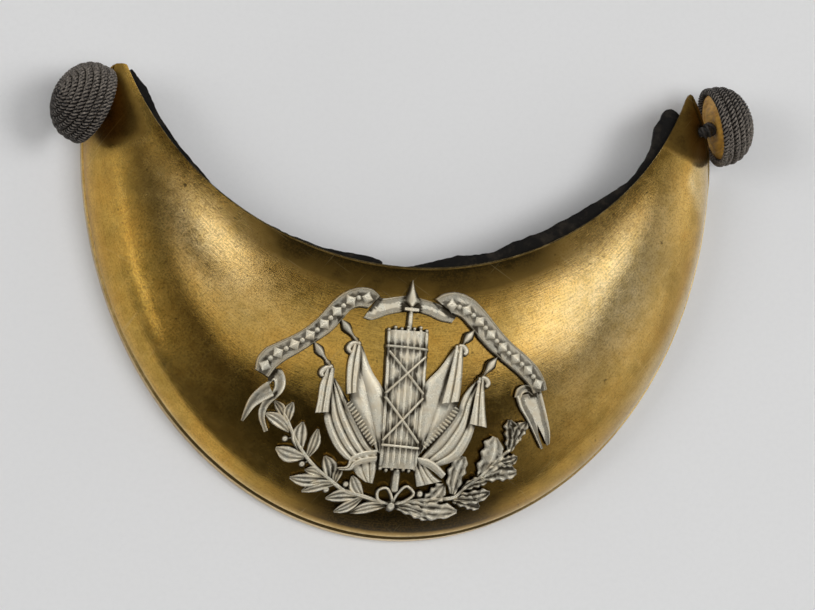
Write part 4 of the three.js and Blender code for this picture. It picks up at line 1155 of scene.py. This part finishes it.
def silver_finish():
    finish, coords = start_finish("tarnished_silver")
    mottle = spots(coords, 500, 4, 0.6)
    grain = spots(coords, 2600, 3, 0.6)
    bright = blend(span(mottle, 0.35, 0.65), (0.96, 0.84, 0.62, 1), (1.0, 0.95, 0.78, 1))
    dark = sums("ADD", reading(finish, "hollow"), span(mottle, 0.55, 0.75, 0, 0.25))
    colour = blend(dark, bright, (0.045, 0.034, 0.018, 1))
    rough = span(mottle, 0.3, 0.7, 0.20, 0.32)
    return end_finish(finish, colour, rough, grain, 0.28, 0.00008, plain={"Metallic": 0.50})


def cord_finish():
    finish, coords = start_finish("black_cord")
    fibres = spots(coords, 2200, 4, 0.7)
    faded = spots(coords, 150, 3, 0.6)
    # The yarn colour shows only on the strand crests, as a painted highlight
    crest_highlight_yarn = blend(span(fibres, 0.35, 0.7), (0.022, 0.019, 0.016, 1), (0.33, 0.285, 0.24, 1))
    crest_highlight_yarn = blend(span(faded, 0.5, 0.75, 0, 0.5), crest_highlight_yarn, (0.075, 0.06, 0.048, 1))
    # Painted highlight on each strand's crest; near-black painted shade between strands and on the core
    crest = span(reading(finish, "strand"), 0.935, 0.975)
    colour = blend(crest, (0.008, 0.007, 0.007, 1), crest_highlight_yarn)
    rough = span(fibres, 0.3, 0.7, 0.42, 0.65)
    return end_finish(finish, colour, rough, fibres, plain={"Specular IOR Level": 0.22})


def wood_finish():
    finish, coords = start_finish("turned_wood")
    grain = spots(coords, 260, 5, 0.6, (1.0, 6.0, 1.0))
    stain = spots(coords, 180, 3, 0.6)
    colour = blend(span(grain, 0.35, 0.65), (0.42, 0.20, 0.032, 1), (0.72, 0.41, 0.085, 1))
    colour = blend(span(stain, 0.5, 0.75, 0, 0.4), colour, (0.16, 0.085, 0.02, 1))
    return end_finish(finish, colour, span(grain, 0.3, 0.7, 0.40, 0.58), grain, 0.3)


def leather_finish():
    finish, coords = start_finish("black_leather")
    cells = {"Vector": coords, "Scale": 900.0}
    pores = put(finish.node_tree, "TexVoronoi", cells).outputs["Distance"]
    scuffs = spots(coords, 240, 5, 0.7)
    fuzz = spots(coords, 1800, 3, 0.7)
    colour = blend(span(scuffs, 0.5, 0.8), (0.006, 0.0055, 0.005, 1), (0.042, 0.034, 0.026, 1))
    colour = blend(span(fuzz, 0.60, 0.80, 0, 0.35), colour, (0.075, 0.062, 0.050, 1))
    rough = span(scuffs, 0.3, 0.7, 0.62, 0.85)
    grain = sums("ADD", sums("MULTIPLY", pores, 0.6), sums("MULTIPLY", fuzz, 0.4))
    return end_finish(finish, colour, rough, grain, 0.6, 0.0002, plain={"Specular IOR Level": 0.15})


def thread_finish():
    finish, coords = start_finish("waxed_thread")
    fibres = spots(coords, 1900, 4, 0.7)
    colour = blend(span(fibres, 0.35, 0.7), (0.010, 0.009, 0.008, 1), (0.06, 0.052, 0.045, 1))
    return end_finish(finish, colour, span(fibres, 0.3, 0.7, 0.5, 0.7), fibres)


def table_finish():
    finish, coords = start_finish("pale_table")
    cloud = spots(coords, 9, 3, 0.5)
    weave = spots(coords, 900, 2, 0.5)
    colour = blend(span(cloud, 0.3, 0.7), (0.79, 0.79, 0.79, 1), (0.82, 0.82, 0.82, 1))
    colour = blend(span(weave, 0.4, 0.7, 0, 0.25), colour, (0.76, 0.76, 0.76, 1))
    return end_finish(finish, colour, 0.8, plain={"Specular IOR Level": 0.2})


# Hollows of the cast work, where tarnish stays: depth below the nearest crest
CREST_CELL = 0.25
CREST_REACH = 3
HOLLOW_FROM = 0.10
HOLLOW_RANGE = 0.55


def note_hollows(piece):
    points = corners(piece) / MM - CENTRE
    height = points[:, 2] - dome_height(points[:, 0], points[:, 1]) - EMBLEM_GAP
    low = points[:, :2].min(0) - 2
    at = tuple(((points[:, :2] - low) / CREST_CELL).astype(int).T)
    crest = np.zeros([cells.max() + 10 for cells in at])
    np.maximum.at(crest, at, height)
    for axis in (0, 1):
        steps = range(-CREST_REACH, CREST_REACH + 1)
        crest = np.maximum.reduce([np.roll(crest, step, axis) for step in steps])
    note(piece, "hollow", np.clip((crest[at] - height - HOLLOW_FROM) / HOLLOW_RANGE, 0, 1))


# Painted shade, dull patches and painted highlights of the brass, by place along and share across
BUTTON_SHADOW_REACH = (12, 6)
POLISH_STRETCH = 1.2


def note_painted_light(piece):
    points = corners(piece) / MM - CENTRE
    place, share = locate(points[:, 0], points[:, 1])
    # Painted shade: a dark reflection in a band below the middle of the neck edge, the horns where they
    # lie in the buttons' shadows and reflect them, and a dark reflected band down the left side. The foot
    # is darker along its middle, short of its very edge.
    neck = ease(0.18, 0.07, share) * ease(0.001, 0.004, share) * ease(0.6, 0.3, np.abs(place))
    foot = ease(0.74, 0.92, share) * ease(0.36, 0.1, np.abs(place)) * ease(0.99, 0.975, share)
    horn_right = ease(0, 0.015, place - 0.785 - 0.11 * share)
    horn_left = ease(0, 0.02, -place - 0.753 - 0.12 * share) * ease(0.0, 0.22, share)
    olive_left = ease(0.80, 0.70, share) * ease(0.08, 0.22, share) * ease(0.58, 0.70, -place)
    # Painted shadow of each button on the brass, darkest at its hole and fading within the reach
    button_shadow = np.zeros_like(place)
    for button in BUTTONS.values():
        away = np.hypot(points[:, 0] - button["hole"][0], points[:, 1] - button["hole"][1])
        button_shadow = button_shadow + button["painted_shadow"] * ease(*BUTTON_SHADOW_REACH, away)
    patches = 0.80 * horn_right + 0.45 * horn_left + 0.22 * olive_left + button_shadow
    note(piece, "painted_shade", np.clip(neck + foot + patches, 0, 1))
    note(piece, "matt", np.clip(horn_right + 0.5 * horn_left + button_shadow, 0, 1))
    # Painted highlight: paler brass where the lamps' highlights fall on both cheeks, along the right rim,
    # below the right horn's dark patch, and as thin bright lines on the neck edge and the outer edge
    cheek_left = 0.75 * np.exp(-((place + 0.52) / 0.18) ** 2 - ((share - 0.24) / 0.20) ** 2)
    cheek_right = np.exp(-((place - 0.50) / 0.22) ** 2 - ((share - 0.38) / 0.30) ** 2)
    rim_right = 0.8 * ease(0.84, 0.94, share) * ease(0.35, 0.6, place)
    below_patch = 0.8 * ease(0.42, 0.55, share) * ease(0.77, 0.81, place)
    edge = ease(0.004, 0.001, share) + 0.6 * ease(0.975, 0.99, share)
    note(piece, "painted_highlight", np.clip(cheek_left + cheek_right + rim_right + below_patch + edge, 0, 1))
    layer = piece.data.uv_layers.new(name="polish")
    corner_vertex = np.empty(len(piece.data.loops), dtype=np.int32)
    piece.data.loops.foreach_get("vertex_index", corner_vertex)
    sheet = np.stack([place * POLISH_STRETCH, share], -1)[corner_vertex]
    layer.data.foreach_set("uv", sheet.astype(np.float32).ravel())


# Camera and room
CAMERA_SPOT = np.array([-107.5, -124.8, 625.2])
CAMERA_TARGET = np.array([0.86, -37.63, 10.0])
CAMERA_ROLL = math.radians(-1.29)
LENS = 123.9
SENSOR = 36


def set_camera():
    let_go()
    bpy.ops.object.camera_add(location=into_frame(CAMERA_SPOT))
    camera = named("photo_camera")
    look = Vector(into_frame(CAMERA_TARGET) - into_frame(CAMERA_SPOT)).normalized()
    side = look.cross(Vector((0, 1, 0))).normalized()
    up = side.cross(look)
    turn = Matrix.Rotation(CAMERA_ROLL, 3, look)
    camera.rotation_euler = Matrix((turn @ side, turn @ up, -look)).transposed().to_euler()
    camera.data.lens = LENS
    camera.data.sensor_width = SENSOR
    camera.data.clip_start = 0.01
    bpy.context.scene.camera = camera


# Soft boxes: direction, distance, width, height, brightness; as light only, mirrored only, or both
SOFT_BOXES = {
    "key_right": ((0.50, 0.03, 0.87), 1.2, 0.5, 0.5, 6.1, "floor"),
    "key_left": ((-0.74, 0.06, 0.67), 1.2, 0.5, 0.5, 3.7, "floor"),
    "key_top": ((0.0, -0.17, 0.98), 1.3, 0.6, 0.6, 2.3, "floor"),
    "band_top": ((0.02, -0.11, 0.99), 1.0, 1.15, 0.28, 0.66, "both"),
    "box_right": ((0.53, -0.04, 0.85), 1.0, 0.32, 0.28, 1.1, "both"),
    "box_right_high": ((0.63, 0.13, 0.765), 1.0, 0.20, 0.18, 0.8, "both"),
    "glow_right": ((0.65, -0.36, 0.67), 1.0, 0.26, 0.26, 0.22, "both"),
    "box_left": ((-0.235, 0.115, 0.965), 1.2, 0.23, 0.21, 1.55, "both"),
    "box_left_low": ((-0.51, -0.08, 0.86), 1.0, 0.20, 0.16, 0.5, "both"),
    "fill_left": ((-0.45, 0.24, 0.86), 1.0, 0.24, 0.30, 0.35, "both"),
    "strip_left": ((-0.93, -0.15, 0.33), 1.0, 0.5, 0.035, 2.2, "both"),
    "strip_back": ((0.0, 0.80, 0.60), 1.0, 1.4, 0.75, 1.0, "mirror"),
}
WALL_LIGHT = 1.0
CEILING_LIGHT = 0.05
ROOM_MEAN = 1.1
ROOM_SLANT = (0.2, 1.5, 0.0)
ROOM_DIM = 0.1
ROOM_BRIGHT = 0.85
ROOM_BACK = 0.3
TABLE_SIZE = 1.6


# The room: bright walls at both sides, dim ceiling, dim towards the foot and the far wall
def set_room():
    world = bpy.context.scene.world or bpy.data.worlds.new("studio")
    bpy.context.scene.world = world
    world.use_nodes = True
    tree = world.node_tree
    back = tree.nodes["Background"]
    way = put(tree, "TexCoord").outputs["Generated"]
    axes = put(tree, "SeparateXYZ", {"Vector": way}).outputs
    wall = span(axes["Z"], 0.3, 0.85, WALL_LIGHT, CEILING_LIGHT)
    slant = put(tree, "VectorMath", {0: way, 1: ROOM_SLANT}, operation="DOT_PRODUCT").outputs
    side = put(tree, "Math", {0: slant["Value"], 1: ROOM_MEAN}, operation="ADD").outputs[0]
    limits = {"Value": side, "Min": ROOM_DIM, "Max": ROOM_BRIGHT}
    side = put(tree, "Clamp", limits).outputs["Result"]
    side = sums("MULTIPLY", side, span(axes["Y"], 0.2, 0.8, 1, ROOM_BACK))
    tree.links.new(sums("MULTIPLY", wall, side), back.inputs["Strength"])
    back.inputs["Color"].default_value = (1, 1, 1, 1)


def set_lights():
    for name, (way, far, width, height, bright, seen_by) in SOFT_BOXES.items():
        let_go()
        bpy.ops.object.light_add(type="AREA", location=Vector(way).normalized() * far)
        lamp = named(name)
        lamp.rotation_euler = Vector(way).to_track_quat("Z", "Y").to_euler()
        lamp.data.shape = "RECTANGLE"
        lamp.data.size = width
        lamp.data.size_y = height
        lamp.data.energy = bright * math.pi * width * height
        lamp.visible_glossy = seen_by != "floor"
        lamp.visible_diffuse = seen_by != "mirror"
    bpy.context.scene.view_settings.view_transform = "Standard"


def set_table():
    let_go()
    bpy.ops.mesh.primitive_plane_add(size=TABLE_SIZE, location=(0, 0, 0))
    table = named("pale_table")
    edit_all()
    bpy.ops.mesh.subdivide(number_cuts=3)
    leave_edit()
    table.data.materials.append(table_finish())


METAL_CREASE = 35
CAST_CREASE = 38
SOFT_CREASE = 50

set_camera()
set_lights()
set_room()
set_table()

plate = make_plate()
pierce(plate)
finish_modifier(plate, "BEVEL", width=EDGE_ROUND * MM, segments=EDGE_STEPS, limit_method="ANGLE",
                angle_limit=EDGE_ANGLE)
note_painted_light(plate)
smooth(plate, METAL_CREASE)
paint(plate, brass_finish())
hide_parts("plate")
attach(plate, "root")

lining = make_lining()
pierce(lining)
smooth(lining, SOFT_CREASE)
paint(lining, leather_finish())
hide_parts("lining")
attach(lining, "root")

emblem = make_emblem()
note_hollows(emblem)
smooth(emblem, CAST_CREASE)
paint(emblem, silver_finish())
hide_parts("emblem")
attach(emblem, "root")

cord, wood, thread = cord_finish(), wood_finish(), thread_finish()
for side, button in BUTTONS.items():
    for make, node, finish, slot in ((make_cover, "cover", cord, "button_cord"),
                                     (make_mould, "mould", wood, "button_wood"),
                                     (make_shank, "shank", thread, "button_thread")):
        piece = make(side, button)
        smooth(piece, SOFT_CREASE)
        paint(piece, finish)
        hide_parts(f"button_{side}_{node}")
        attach(piece, "root")
